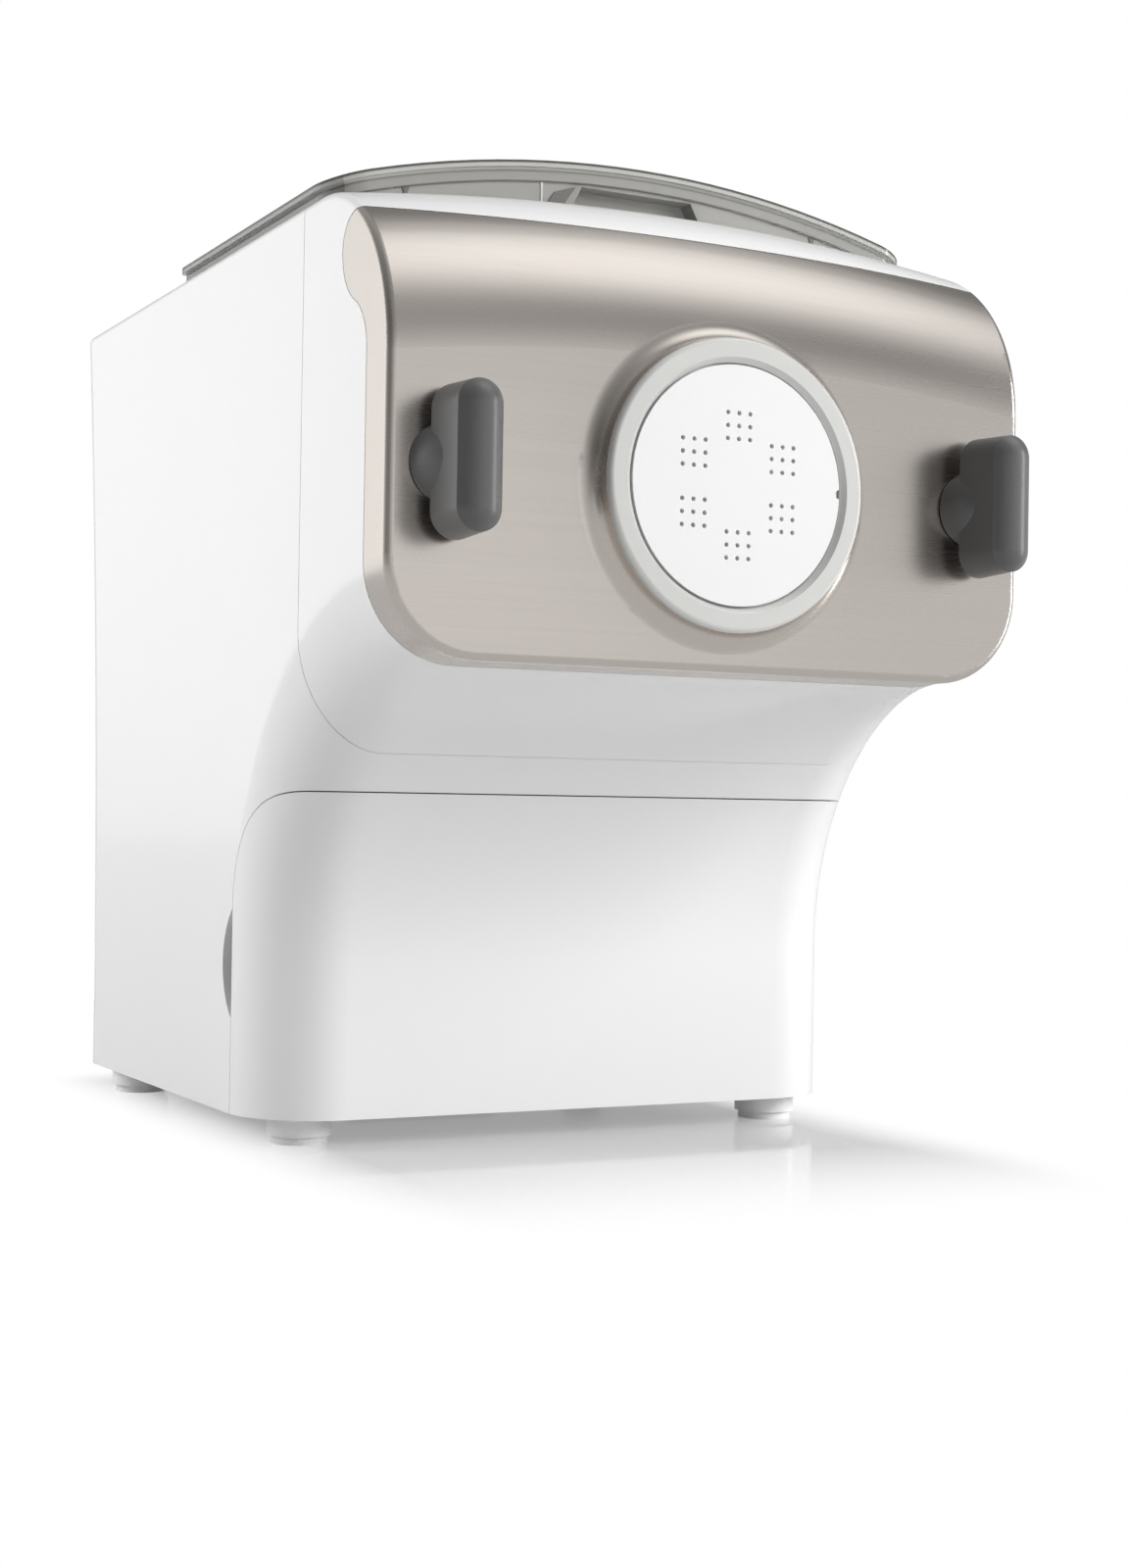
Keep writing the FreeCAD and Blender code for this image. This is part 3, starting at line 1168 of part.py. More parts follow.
def motor_can():
    x, z = MOTOR_AXIS
    outer = rod_y(x, z, MOTOR_RADIUS, MOTOR_FRONT, MOTOR_BACK)
    hollow = rod_y(x, z, MOTOR_RADIUS - 2, MOTOR_FRONT + 2, MOTOR_BACK - 2)
    noses = [rod_y(x, z, MOTOR_BEARING, MOTOR_FRONT - 2.5, MOTOR_FRONT + 1),
             rod_y(x, z, MOTOR_BEARING, MOTOR_BACK - 1, MOTOR_BACK + 1.5)]
    body = joined([outer.cut(hollow)] + noses)
    bore = rod_y(x, z, MOTOR_SHAFT + AXLE_CLEARANCE, MOTOR_FRONT - 5, MOTOR_BACK + 5)
    slots = [bore]
    for index in range(6):
        slot = box(-MOTOR_SLOT_WIDTH / 2, MOTOR_SLOT_WIDTH / 2, MOTOR_BACK - 3, MOTOR_BACK + 1,
                   MOTOR_SLOT_START, MOTOR_SLOT_END)
        slot.rotate(V(0, 0, 0), V(0, 1, 0), 60 * index)
        slot.translate(V(x, 0, z))
        slots.append(slot)
    return body.cut(Part.makeCompound(slots))


def motor_stator():
    x, z = MOTOR_AXIS
    ring = ring_y(x, z, MOTOR_RADIUS - 2 - FIT, ROTOR_RADIUS + 1, MOTOR_FRONT + 6, MOTOR_BACK - 6)
    return ring


def motor_rotor():
    x, z = MOTOR_AXIS
    shaft = rod_y(x, z, MOTOR_SHAFT, LAYER_1 - 1, FAN_BACK + 1)
    core = rod_y(x, z, ROTOR_RADIUS, MOTOR_FRONT + 7, MOTOR_BACK - 7)
    body = joined([shaft, core])
    slots = []
    for index in range(12):
        slot = box(-1.2, 1.2, MOTOR_FRONT + 6, MOTOR_BACK - 6, ROTOR_RADIUS - 6, ROTOR_RADIUS + 1)
        slot.rotate(V(0, 0, 0), V(0, 1, 0), 30 * index)
        slot.translate(V(x, 0, z))
        slots.append(slot)
    return body.cut(Part.makeCompound(slots))


def cooling_fan():
    x, z = MOTOR_AXIS
    hub = rod_y(x, z, 8, FAN_FRONT, FAN_BACK)
    plate = rod_y(x, z, FAN_RADIUS, FAN_BACK - 1.5, FAN_BACK)
    solids = [hub, plate]
    for index in range(FAN_BLADES):
        blade = box(-0.9, 0.9, FAN_FRONT, FAN_BACK - 1, 6, FAN_RADIUS - 1)
        blade.rotate(V(0, 0, 8), V(0, 1, 0), 12)
        blade.rotate(V(0, 0, 0), V(0, 1, 0), index * 360 / FAN_BLADES)
        blade.translate(V(x, 0, z))
        solids.append(blade)
    body = joined(solids)
    return body.cut(rod_y(x, z, MOTOR_SHAFT + AXLE_CLEARANCE / 2, FAN_FRONT - 1, FAN_BACK + 1))


def motor_cradle():
    x, z = MOTOR_AXIS
    low = BODY_BOTTOM + BASE_THICKNESS + FIT
    plates = []
    for y in (MOTOR_FRONT + 6, MOTOR_BACK - 10):
        plates.append(box(x - 26, x + 26, y, y + 4, low, z - 12))
    foot_plate = box(x - 26, x + 26, MOTOR_FRONT + 6, MOTOR_BACK - 6, low, low + 3)
    body = joined(plates + [foot_plate])
    return body.cut(rod_y(x, z, MOTOR_RADIUS + FIT, MOTOR_FRONT, MOTOR_BACK))


# The lid

def lid_arch(drop):
    half_chord = LID_HALF_WIDTH
    rise = LID_TOP - LID_SIDE_TOP
    radius = (half_chord ** 2 + rise ** 2) / (2 * rise)
    return rod_y(0, LID_TOP - radius, radius - drop, LID_FRONT - 5, LID_BACK + 5)


def lid_block(inset):
    return rounded_plan(-LID_HALF_WIDTH + inset, LID_HALF_WIDTH - inset, LID_FRONT + inset,
                        LID_BACK - inset, SIDE_TOP - 15, LID_TOP + 1, LID_CORNER - inset)


def grip_prism(grow, depth):
    half = LID_GRIP_WIDTH / 2 + grow
    base = CENTRE_TOP - 3
    top = CENTRE_TOP + LID_GRIP_HEIGHT + grow
    points = [(-half, base), (half, base), (half - 6, top), (-half + 6, top)]
    return front_prism(points, LID_FRONT - 2, LID_FRONT + depth)


def lid():
    inner_inset = LID_RIM + LID_STEP_INSET + LID_SKIRT
    ceiling = casing_top(-FIT)
    plate = lid_block(0).common(lid_arch(0)).cut(lid_arch(LID_PLATE))
    upper = lid_block(LID_RIM).cut(lid_block(inner_inset))
    upper = upper.common(lid_arch(LID_PLATE / 2)).cut(lid_arch(LID_STEP_DROP))
    lower = lid_block(LID_RIM + LID_STEP_INSET).cut(lid_block(inner_inset))
    lower = lower.common(lid_arch(LID_STEP_DROP - 1))
    cup = grip_prism(LID_SKIRT, LID_GRIP_DEPTH + LID_SKIRT).common(lid_block(LID_RIM + LID_STEP_INSET))
    cup = cup.common(lid_arch(LID_PLATE / 2))
    body = plate.multiFuse([upper, lower, cup])
    body = body.fuse(lid_toe())
    body = body.cut(grip_prism(0, LID_GRIP_DEPTH))
    body = body.cut(ceiling)
    body = body.cut(pour_mouth(0, LID_TOP - 30, LID_TOP + 5))
    return body.removeSplitter()


def pour_mouth(grow, z0, z1):
    half_x = POUR_LENGTH / 2 + grow
    half_y = POUR_WIDTH / 2 + grow
    return rounded_plan(-half_x, half_x, POUR_Y - half_y, POUR_Y + half_y, z0, z1, 4 + grow)


def lid_funnel():
    """A chute under the pouring mouth, hung from the lid by its flange."""
    chute = pour_mouth(3, FUNNEL_LOW, LID_TOP + 1).cut(pour_mouth(1, FUNNEL_LOW - 1, LID_TOP + 2))
    flange_low = LID_TOP - FUNNEL_FLANGE_DROP
    flange = pour_mouth(7, flange_low, LID_TOP + 1).cut(pour_mouth(1, flange_low - 1, LID_TOP + 2))
    flange = flange.cut(lid_arch(LID_PLATE + 2.2))
    body = chute.fuse(flange)
    return body.common(lid_arch(LID_PLATE + 0.2))


def lid_switch_plunger():
    top = lid_underside(SWITCH_X)
    stem = rod_z(SWITCH_X, SWITCH_Y, PLUNGER_RADIUS, top_at(SWITCH_X) - 14, top - FIT)
    flange = rod_z(SWITCH_X, SWITCH_Y, PLUNGER_RADIUS + 2, top_at(SWITCH_X) - 12,
                   top_at(SWITCH_X) - 10)
    return joined([stem, flange])


def lid_underside(x):
    return top_at(x) + LID_TOE_GAP


def lid_switch():
    base = top_at(SWITCH_X) - 14 - FIT
    return box(SWITCH_X - 6, SWITCH_X + 6, SWITCH_Y - 8, SWITCH_Y + 8, base - 10, base)


def lid_toe():
    """The block under the lid that presses the safety plunger."""
    low = lid_underside(SWITCH_X)
    toe = rod_z(SWITCH_X, SWITCH_Y, PLUNGER_RADIUS + 1.5, low, LID_TOP)
    return toe.common(lid_arch(LID_PLATE / 2))


# The controls

def strip_skin(depth0, depth1, grow):
    block = strip_block(grow, CENTRE_TOP - 20, CENTRE_TOP + 5)
    return casing_top(depth0).cut(casing_top(depth1)).common(block)


def control_panel():
    plate = strip_skin(0.3, 4.5, -FIT)
    flange = strip_skin(WALL + FIT, 4.5, 4)
    posts = [rod_z(side * BOARD_POST_X, y, BOARD_POST_RADIUS, board_top(), top_at(BOARD_POST_X) - 4)
             for side in LEFT_AND_RIGHT for y in BOARD_POST_ROWS]
    body = joined([plate, flange] + posts)
    holes = [display_block(FIT)]
    for x in button_places():
        holes.append(rod_z(x, BUTTON_ROW_Y, BUTTON_RADIUS + FIT, CENTRE_TOP - 30, CENTRE_TOP + 5))
    return body.cut(joined(holes))


def button_places():
    return [index * BUTTON_PITCH for index in (-1, 0, 1)]


def display_block(grow):
    half_x = DISPLAY_SIZE[0] / 2 + grow
    half_y = DISPLAY_SIZE[1] / 2 + grow
    return rounded_plan(-half_x, half_x, DISPLAY_Y - half_y, DISPLAY_Y + half_y,
                        CENTRE_TOP - 20, CENTRE_TOP + 5, 3 + grow)


def display_window():
    return casing_top(0.3).cut(casing_top(3.0)).common(display_block(0))


def button(x):
    top = top_at(x) - 0.3 + BUTTON_PROUD
    low = top_at(abs(x) + BUTTON_RADIUS + 1.8) - 4.5 - BUTTON_FLANGE_GAP
    cap = rod_z(x, BUTTON_ROW_Y, BUTTON_RADIUS, low - 1.5, top)
    rim = [e for e in cap.Edges if abs(e.CenterOfMass.z - top) < EPS]
    cap = cap.makeFillet(0.8, rim)
    flange = rod_z(x, BUTTON_ROW_Y, BUTTON_RADIUS + 1.8, low - 1.5, low)
    stem = rod_z(x, BUTTON_ROW_Y, 2.0, low - 5, low - 1)
    return joined([cap, flange, stem])


def control_board():
    """The board under the controls, with a switch body under each button."""
    top = board_top() + SWITCH_BODY_HEIGHT
    half = PANEL_STRIP_WIDTH / 2 - 4
    board = box(-half, half, PANEL_STRIP_FRONT + 3, PANEL_STRIP_BACK - 2,
                board_top() - BOARD_THICKNESS, board_top())
    solids = [board]
    for x in button_places():
        solids.append(box(x - 3, x + 3, BUTTON_ROW_Y - 3, BUTTON_ROW_Y + 3, top - 4, top))
    solids.append(box(-20, 20, DISPLAY_Y - 8, DISPLAY_Y + 8, top - 4, top + 4))
    return joined(solids)


def board_top():
    return button_low() - BUTTON_TRAVEL - FIT - SWITCH_BODY_HEIGHT


def button_low():
    lowest = top_at(BUTTON_PITCH + BUTTON_RADIUS + 1.8)
    return lowest - 4.5 - BUTTON_FLANGE_GAP - 5


def power_board():
    low = BODY_BOTTOM + BASE_THICKNESS + FIT
    right = HALF - POWER_BOARD_INSET
    left = right - POWER_BOARD_WIDTH
    back = BACK_BOTTOM - POWER_BOARD_SETBACK
    front = back - POWER_BOARD_LENGTH
    under = low + POWER_BOARD_STANDOFF
    over = under + BOARD_THICKNESS
    solids = [box(left, right, front, back, under, over)]
    for x, y in ((left + 4, front + 4), (right - 4, front + 4), (left + 4, back - 18), (right - 8, back - 18)):
        solids.append(rod_z(x, y, 2.5, low, under + 0.5))
    transformer = box(left + 8, left + 32, front + 10, front + 30, over - 0.5, over + 18.4)
    relay = box(left + 8, left + 28, back - 28, back - 8, over - 0.5, over + 6.4)
    for y in (front + 14, front + 28):
        solids.append(rod_z(right - 12, y, 6, over - 0.5, over + 22.4))
    return joined(solids + [transformer, relay])


def cord_gland():
    face = rear_face(GLAND_HEIGHT)
    seat = rear_face(GLAND_HEIGHT + GLAND_RADIUS) + FIT / 2
    flange = rod_y(GLAND_OFFSET, GLAND_HEIGHT, GLAND_RADIUS, seat, face + 3)
    neck = rod_y(GLAND_OFFSET, GLAND_HEIGHT, GLAND_RADIUS - 2, face - 9, face + 1)
    nut = rod_y(GLAND_OFFSET, GLAND_HEIGHT, GLAND_RADIUS, face - 9, face - 6)
    body = joined([flange, neck, nut])
    return body.cut(rod_y(GLAND_OFFSET, GLAND_HEIGHT, CORD_BORE, face - 12, face + 5))


# The drawer

def drawer_front():
    outer = casing(0).common(DRAWER_SPACE)
    inner = casing(DRAWER_SKIN)
    shell = outer.cut(inner)
    return shell.cut(footprint(BASE_REBATE, 0, BODY_BOTTOM + BASE_THICKNESS + BASE_REBATE_GAP))


def drawer_tray():
    front = DRAWER_SKIN + FIT
    low = BODY_BOTTOM + FOOT_BOSS + 1
    back = DRAWER_BACK
    half = DRAWER_HALF_WIDTH
    corner = FRONT_CORNER - DRAWER_SKIN - 2
    outer = rounded_plan(-half, half, front, back, low, low + DRAWER_BACK_HEIGHT, corner)
    square = box(-half, half, front + corner, back, low, low + DRAWER_BACK_HEIGHT)
    inner = rounded_plan(-half + DRAWER_WALL, half - DRAWER_WALL, front + DRAWER_WALL,
                         back - DRAWER_WALL, low + DRAWER_WALL, low + DRAWER_BACK_HEIGHT + 1,
                         corner - DRAWER_WALL)
    body = joined([outer, square]).cut(inner)
    return body


def drawer_rails():
    rails = []
    low = BODY_BOTTOM + BASE_THICKNESS + FIT
    back = CHASSIS_FRONT - RAIL_END_GAP
    for side in LEFT_AND_RIGHT:
        inner = side * (DRAWER_HALF_WIDTH + FIT)
        outer = side * (DRAWER_HALF_WIDTH + FIT + RAIL_WIDTH)
        x0, x1 = sorted((inner, outer))
        upright = box(x0, x1, RAIL_FRONT, back, low, low + RAIL_HEIGHT)
        step = side * (DRAWER_HALF_WIDTH - 6)
        s0, s1 = sorted((step, outer))
        ledge = box(s0, s1, RAIL_FRONT, back, low, BODY_BOTTOM + FOOT_BOSS + 1 - FIT)
        rails.append(joined([upright, ledge]))
    return Part.makeCompound(rails)


def stored_disc(x, level, cutters):
    """A spare shaping disc that lies flat in the drawer."""
    disc = blank_disc().cut(Part.makeCompound(cutters))
    disc.translate(V(0, -DISC_FRONT, -AXIS_HEIGHT))
    disc.rotate(V(0, 0, 0), V(1, 0, 0), -90)
    bounds = disc.BoundBox
    floor_z = BODY_BOTTOM + FOOT_BOSS + 1 + DRAWER_WALL + FIT
    disc.translate(V(x, DRAWER_SKIN + DRAWER_DEPTH / 2, floor_z - bounds.ZMin + level * (DISC_THICKNESS + FIT)))
    return disc


def disc_store():
    """How far each stored disc lies from the centre plane."""
    return (DRAWER_HALF_WIDTH - DRAWER_WALL) / 2


def fettuccine_disc():
    cutters = []
    for x, z in disc_group_places():
        cutters.append(box(x - 4, x + 4, DISC_FRONT - 1, DISC_BACK + 1, AXIS_HEIGHT + z - 0.8,
                           AXIS_HEIGHT + z + 0.8))
    return stored_disc(-disc_store(), 0, cutters)


def penne_disc():
    cutters = []
    for x, z in disc_group_places():
        ring = ring_y(x, AXIS_HEIGHT + z, 5.0, 3.4, DISC_FRONT - 1, DISC_FRONT + 2.5)
        cutters.append(ring)
        for side in LEFT_AND_RIGHT:
            cutters.append(rod_y(x + side * 4.2, AXIS_HEIGHT + z, 1.2, DISC_FRONT, DISC_BACK + 1))
    return stored_disc(disc_store(), 0, cutters)


def lasagne_disc():
    slot = box(-26, 26, DISC_FRONT - 1, DISC_BACK + 1, AXIS_HEIGHT - 0.75, AXIS_HEIGHT + 0.75)
    return stored_disc(-disc_store(), 1, [slot])


def build():
    pieces = {
        "main_housing": main_housing(),
        "front_housing": front_housing(),
        "rear_cover": rear_cover(),
        "rear_cover_screws": rear_cover_screws(),
        "base_plate": base_plate(),
        "base_screws": base_screws(),
        "front_panel": front_panel(),
        "panel_carrier": panel_carrier(),
        "panel_collar": panel_collar(),
        "shaping_disc": shaping_disc(),
        "extrusion_tube": extrusion_tube(),
        "mixing_chamber": mixing_chamber(),
        "chamber_seal": chamber_seal(),
        "chamber_bay": chamber_bay(),
        "chassis": chassis(),
        "drive_shaft": drive_shaft(),
        "mixing_paddle": mixing_paddle(),
        "auger": auger(),
        "output_gear": output_gear(),
        "first_gear": first_gear(),
        "second_gear": second_gear(),
        "gear_axles": Part.makeCompound([axle(FIRST_AXIS), axle(SECOND_AXIS)]),
        "output_bearings": Part.makeCompound([bearing(CASE_FRONT), bearing(COVER_BACK - BEARING_WIDTH)]),
        "lock_nuts": Part.makeCompound([lock_nut(side * KNOB_OFFSET) for side in LEFT_AND_RIGHT]),
        "gearbox_case": gearbox_case(),
        "gearbox_cover": gearbox_cover(),
        "gearbox_screws": gearbox_screws(),
        "motor_pinion": motor_pinion(),
        "motor_can": motor_can(),
        "motor_stator": motor_stator(),
        "motor_rotor": motor_rotor(),
        "cooling_fan": cooling_fan(),
        "motor_cradle": motor_cradle(),
        "lid": lid(),
        "lid_funnel": lid_funnel(),
        "lid_switch": lid_switch(),
        "lid_switch_plunger": lid_switch_plunger(),
        "control_panel": control_panel(),
        "display_window": display_window(),
        "control_board": control_board(),
        "power_board": power_board(),
        "cord_gland": cord_gland(),
        "drawer_front": drawer_front(),
        "drawer_tray": drawer_tray(),
        "drawer_rails": drawer_rails(),
        "fettuccine_disc": fettuccine_disc(),
        "penne_disc": penne_disc(),
        "lasagne_disc": lasagne_disc(),
    }
    for side, name in zip(LEFT_AND_RIGHT, ("left", "right")):
        pieces["knob_" + name] = knob(side * KNOB_OFFSET)
        pieces["knob_screw_" + name] = knob_screw(side * KNOB_OFFSET)
    for x, name in zip(button_places(), ("power_button", "program_button", "start_button")):
        pieces[name] = button(x)
    names = ("front_left", "front_right", "rear_left", "rear_right")
    for place, name in zip(foot_places(), names):
        pieces["foot_" + name] = foot(*place)
    for name, shape in pieces.items():
        save(name, shape)
    return pieces


build()
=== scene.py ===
import bmesh
import bpy
import math
from mathutils import Matrix, Vector


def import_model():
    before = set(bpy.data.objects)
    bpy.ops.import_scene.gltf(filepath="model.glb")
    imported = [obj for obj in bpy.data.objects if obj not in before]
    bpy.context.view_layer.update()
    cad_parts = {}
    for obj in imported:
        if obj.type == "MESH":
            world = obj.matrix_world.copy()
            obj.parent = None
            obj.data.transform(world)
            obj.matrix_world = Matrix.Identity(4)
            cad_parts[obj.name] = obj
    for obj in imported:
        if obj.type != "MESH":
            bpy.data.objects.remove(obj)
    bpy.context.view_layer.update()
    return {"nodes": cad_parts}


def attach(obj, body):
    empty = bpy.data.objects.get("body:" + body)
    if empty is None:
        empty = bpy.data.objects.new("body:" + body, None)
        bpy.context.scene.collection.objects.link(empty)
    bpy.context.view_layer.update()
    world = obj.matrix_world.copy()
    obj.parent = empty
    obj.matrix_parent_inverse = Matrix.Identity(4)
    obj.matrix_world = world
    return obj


# Electric pasta maker. Metres, +Z up, the front faces -Y.

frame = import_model()
nodes = frame["nodes"]


# Effects that several materials share

def effect(name, inputs, outputs):
    group = bpy.data.node_groups.new(name, "ShaderNodeTree")
    for label, value in inputs:
        kind = "NodeSocketColor" if isinstance(value,
                                               tuple) and len(value) == 4 else "NodeSocketFloat"
        if isinstance(value, tuple) and len(value) == 3:
            kind = "NodeSocketVector"
        socket = group.interface.new_socket(label, in_out="INPUT", socket_type=kind)
        socket.default_value = value
    for label, kind in outputs:
        group.interface.new_socket(label, in_out="OUTPUT", socket_type=kind)
    return group, group.nodes.new("NodeGroupInput"), group.nodes.new("NodeGroupOutput")


def wire(tree, start, end):
    tree.links.new(start, end)


def math_node(tree, operation, a, b, clamp=False):
    node = tree.nodes.new("ShaderNodeMath")
    node.operation = operation
    node.use_clamp = clamp
    for socket, value in zip(node.inputs, (a, b)):
        if isinstance(value, (int, float)):
            socket.default_value = value
        else:
            wire(tree, value, socket)
    return node.outputs[0]


def length_node(tree, a, b):
    """The length of the line whose two sides are a and b."""
    squares = math_node(tree, "ADD", math_node(tree, "MULTIPLY", a, a),
                        math_node(tree, "MULTIPLY", b, b))
    return math_node(tree, "SQRT", squares, 0.0)


def absolute(tree, value):
    return math_node(tree, "ABSOLUTE", value, 0.0)


def vector_node(tree, operation, vector, constant, output="Vector"):
    node = tree.nodes.new("ShaderNodeVectorMath")
    node.operation = operation
    wire(tree, vector, node.inputs[0])
    if isinstance(constant, tuple):
        node.inputs[1].default_value = constant
    else:
        wire(tree, constant, node.inputs[1])
    return node.outputs[output]


def split(tree, vector):
    """The X, Y and Z of a vector."""
    node = tree.nodes.new("ShaderNodeSeparateXYZ")
    wire(tree, vector, node.inputs["Vector"])
    return node.outputs


def noise_node(tree, where, scale, detail, roughness=0.5):
    node = tree.nodes.new("ShaderNodeTexNoise")
    node.inputs["Detail"].default_value = detail
    node.inputs["Roughness"].default_value = roughness
    wire(tree, where, node.inputs["Vector"])
    if isinstance(scale, (int, float)):
        node.inputs["Scale"].default_value = scale
    else:
        wire(tree, scale, node.inputs["Scale"])
    return node.outputs["Fac"]


def grey_ramp(tree, value, stops):
    """A grey scale through (position, grey) stops."""
    ramp = tree.nodes.new("ShaderNodeValToRGB")
    points = ramp.color_ramp.elements
    while len(points) < len(stops):
        points.new(0.5)
    for point, (position, grey) in zip(points, stops):
        point.position = position
        point.color = (grey, grey, grey, 1.0)
    wire(tree, value, ramp.inputs["Fac"])
    return ramp.outputs["Color"]


FINE_MOTTLE = 7.0
BAND_STRETCH = (0.2, 0.12, 0.12)


def mottle_effect():
    """Broad, faint unevenness of a moulded or painted surface: a tint and a roughness."""
    inputs = [("Base", (0.8, 0.8, 0.8, 1.0)), ("Shade", (0.7, 0.7, 0.7, 1.0)),
              ("Size", 30.0), ("Amount", 0.3), ("Rough", 0.3), ("Spread", 0.08)]
    outputs = [("Color", "NodeSocketColor"), ("Roughness", "NodeSocketFloat")]
    tree, entry, out = effect("mottle", inputs, outputs)
    where = tree.nodes.new("ShaderNodeTexCoord").outputs["Object"]
    broad = noise_node(tree, where, entry.outputs["Size"], 3.0)
    fine_scale = math_node(tree, "MULTIPLY", entry.outputs["Size"], FINE_MOTTLE)
    fine = noise_node(tree, where, fine_scale, 4.0, 0.6)
    mask = math_node(tree, "MULTIPLY", broad, entry.outputs["Amount"])
    mix = tree.nodes.new("ShaderNodeMix")
    mix.data_type = "RGBA"
    wire(tree, mask, mix.inputs["Factor"])
    wire(tree, entry.outputs["Base"], mix.inputs["A"])
    wire(tree, entry.outputs["Shade"], mix.inputs["B"])
    wire(tree, mix.outputs["Result"], out.inputs["Color"])
    both = math_node(tree, "ADD", broad, fine)
    centred = math_node(tree, "SUBTRACT", both, 1.0)
    swing = math_node(tree, "MULTIPLY", centred, entry.outputs["Spread"])
    rough = math_node(tree, "ADD", swing, entry.outputs["Rough"], clamp=True)
    wire(tree, rough, out.inputs["Roughness"])
    return tree


def grain_effect():
    """Fine moulded or cast grain, as a height."""
    tree, entry, out = effect("grain", [("Size", 2500.0), ("Waves", 60.0), ("Wave share", 0.5)],
                              [("Height", "NodeSocketFloat")])
    where = tree.nodes.new("ShaderNodeTexCoord").outputs["Object"]
    fine = noise_node(tree, where, entry.outputs["Size"], 2.0)
    broad = noise_node(tree, where, entry.outputs["Waves"], 1.0)
    mix = tree.nodes.new("ShaderNodeMix")
    wire(tree, entry.outputs["Wave share"], mix.inputs["Factor"])
    wire(tree, fine, mix.inputs["A"])
    wire(tree, broad, mix.inputs["B"])
    wire(tree, mix.outputs["Result"], out.inputs["Height"])
    return tree


def brushed_effect():
    """Straight brush lines along one axis: a tint mask, a roughness and a height."""
    tree, entry, out = effect("brushed",
                              [("Along", (8.0, 900.0, 900.0)), ("Rough", 0.3), ("Spread", 0.12)],
                              [("Mask", "NodeSocketFloat"), ("Roughness", "NodeSocketFloat"),
                               ("Height", "NodeSocketFloat")])
    where = tree.nodes.new("ShaderNodeTexCoord").outputs["Object"]
    stretched = vector_node(tree, "MULTIPLY", where, entry.outputs["Along"])
    lines = noise_node(tree, stretched, 1.0, 4.0, 0.7)
    bands = noise_node(tree, vector_node(tree, "MULTIPLY", stretched, BAND_STRETCH), 1.0, 2.0)
    both = math_node(tree, "ADD", lines, bands)
    mask = math_node(tree, "MULTIPLY", both, 0.5)
    wire(tree, mask, out.inputs["Mask"])
    centred = math_node(tree, "SUBTRACT", lines, 0.5)
    swing = math_node(tree, "MULTIPLY", centred, entry.outputs["Spread"])
    rough = math_node(tree, "ADD", swing, entry.outputs["Rough"], clamp=True)
    wire(tree, rough, out.inputs["Roughness"])
    wire(tree, lines, out.inputs["Height"])
    return tree


MOTTLE = mottle_effect()
GRAIN = grain_effect()
BRUSHED = brushed_effect()


def use(tree, group, **values):
    node = tree.nodes.new("ShaderNodeGroup")
    node.node_tree = group
    for label, value in values.items():
        node.inputs[label.replace("_", " ")].default_value = value
    return node


def bump(tree, shader, height, distance):
    node = tree.nodes.new("ShaderNodeBump")
    node.inputs["Strength"].default_value = 1.0
    node.inputs["Distance"].default_value = distance
    wire(tree, height, node.inputs["Height"])
    wire(tree, node.outputs["Normal"], shader.inputs["Normal"])


def blank(name):
    material = bpy.data.materials.new(name)
    material.use_nodes = True
    tree = material.node_tree
    return material, tree, tree.nodes["Principled BSDF"]


GRAIN_SIZE = 2500.0
WAVE_SIZE = 40.0
WAVE_SHARE = 0.35


def moulded(name, base, shade, rough, spread=0.06, size=22.0, amount=0.5, grain=GRAIN_SIZE,
            depth=0.000004,
            coat=0.0, coat_rough=0.06, metallic=0.0, see_through=0.0, alpha=1.0, sheen=0.0):
    """A moulded, painted or cast surface."""
    material, tree, shader = blank(name)
    tint = use(tree, MOTTLE, Base=(*base, 1.0), Shade=(*shade, 1.0), Size=size, Amount=amount,
               Rough=rough, Spread=spread)
    wire(tree, tint.outputs["Color"], shader.inputs["Base Color"])
    wire(tree, tint.outputs["Roughness"], shader.inputs["Roughness"])
    height = use(tree, GRAIN, Size=grain, Waves=WAVE_SIZE, Wave_share=WAVE_SHARE)
    bump(tree, shader, height.outputs["Height"], depth)
    shader.inputs["Metallic"].default_value = metallic
    shader.inputs["Coat Weight"].default_value = coat
    shader.inputs["Coat Roughness"].default_value = coat_rough
    shader.inputs["Transmission Weight"].default_value = see_through
    shader.inputs["Alpha"].default_value = alpha
    shader.inputs["Sheen Weight"].default_value = sheen
    return material


def brushed(name, base, shade, rough, along=(8.0, 900.0, 900.0), spread=0.12, depth=0.000003):
    """Metal with straight brush or turning lines."""
    material, tree, shader = blank(name)
    lines = use(tree, BRUSHED, Along=along, Rough=rough, Spread=spread)
    mix = tree.nodes.new("ShaderNodeMix")
    mix.data_type = "RGBA"
    wire(tree, lines.outputs["Mask"], mix.inputs["Factor"])
    mix.inputs["A"].default_value = (*base, 1.0)
    mix.inputs["B"].default_value = (*shade, 1.0)
    wire(tree, mix.outputs["Result"], shader.inputs["Base Color"])
    wire(tree, lines.outputs["Roughness"], shader.inputs["Roughness"])
    bump(tree, shader, lines.outputs["Height"], depth)
    shader.inputs["Metallic"].default_value = 1.0
    return material


LID_ARCH = 0.3552
LID_ARCH_DROP = 0.0402
LID_BAND_SCALE = 50.0
# Painted light and shade in bands by depth under the lid's arch: dark painted-shade lines at the top
# edge, under the light band and at the step; the light band on the rim is a painted highlight.
LID_RIM_PAINTED_LIGHT = ((0.0, 0.12), (0.03, 0.14), (0.055, 1.45), (0.125, 1.35), (0.15, 0.45), (0.18, 1.0),
             (0.29, 1.0),
             (0.305, 0.35), (0.33, 1.1), (1.0, 1.0))
LID_BASE = (0.52, 0.515, 0.49)
LID_SHADE = (0.48, 0.475, 0.45)
LID_DEPTH = 0.000001
# Painted shade: the lid's walls that face sideways are darkened by this share.
LID_SIDE_PAINTED_SHADE = 0.4
SMOKY_SEE_THROUGH = 0.35
SMOKY_ALPHA = 0.85


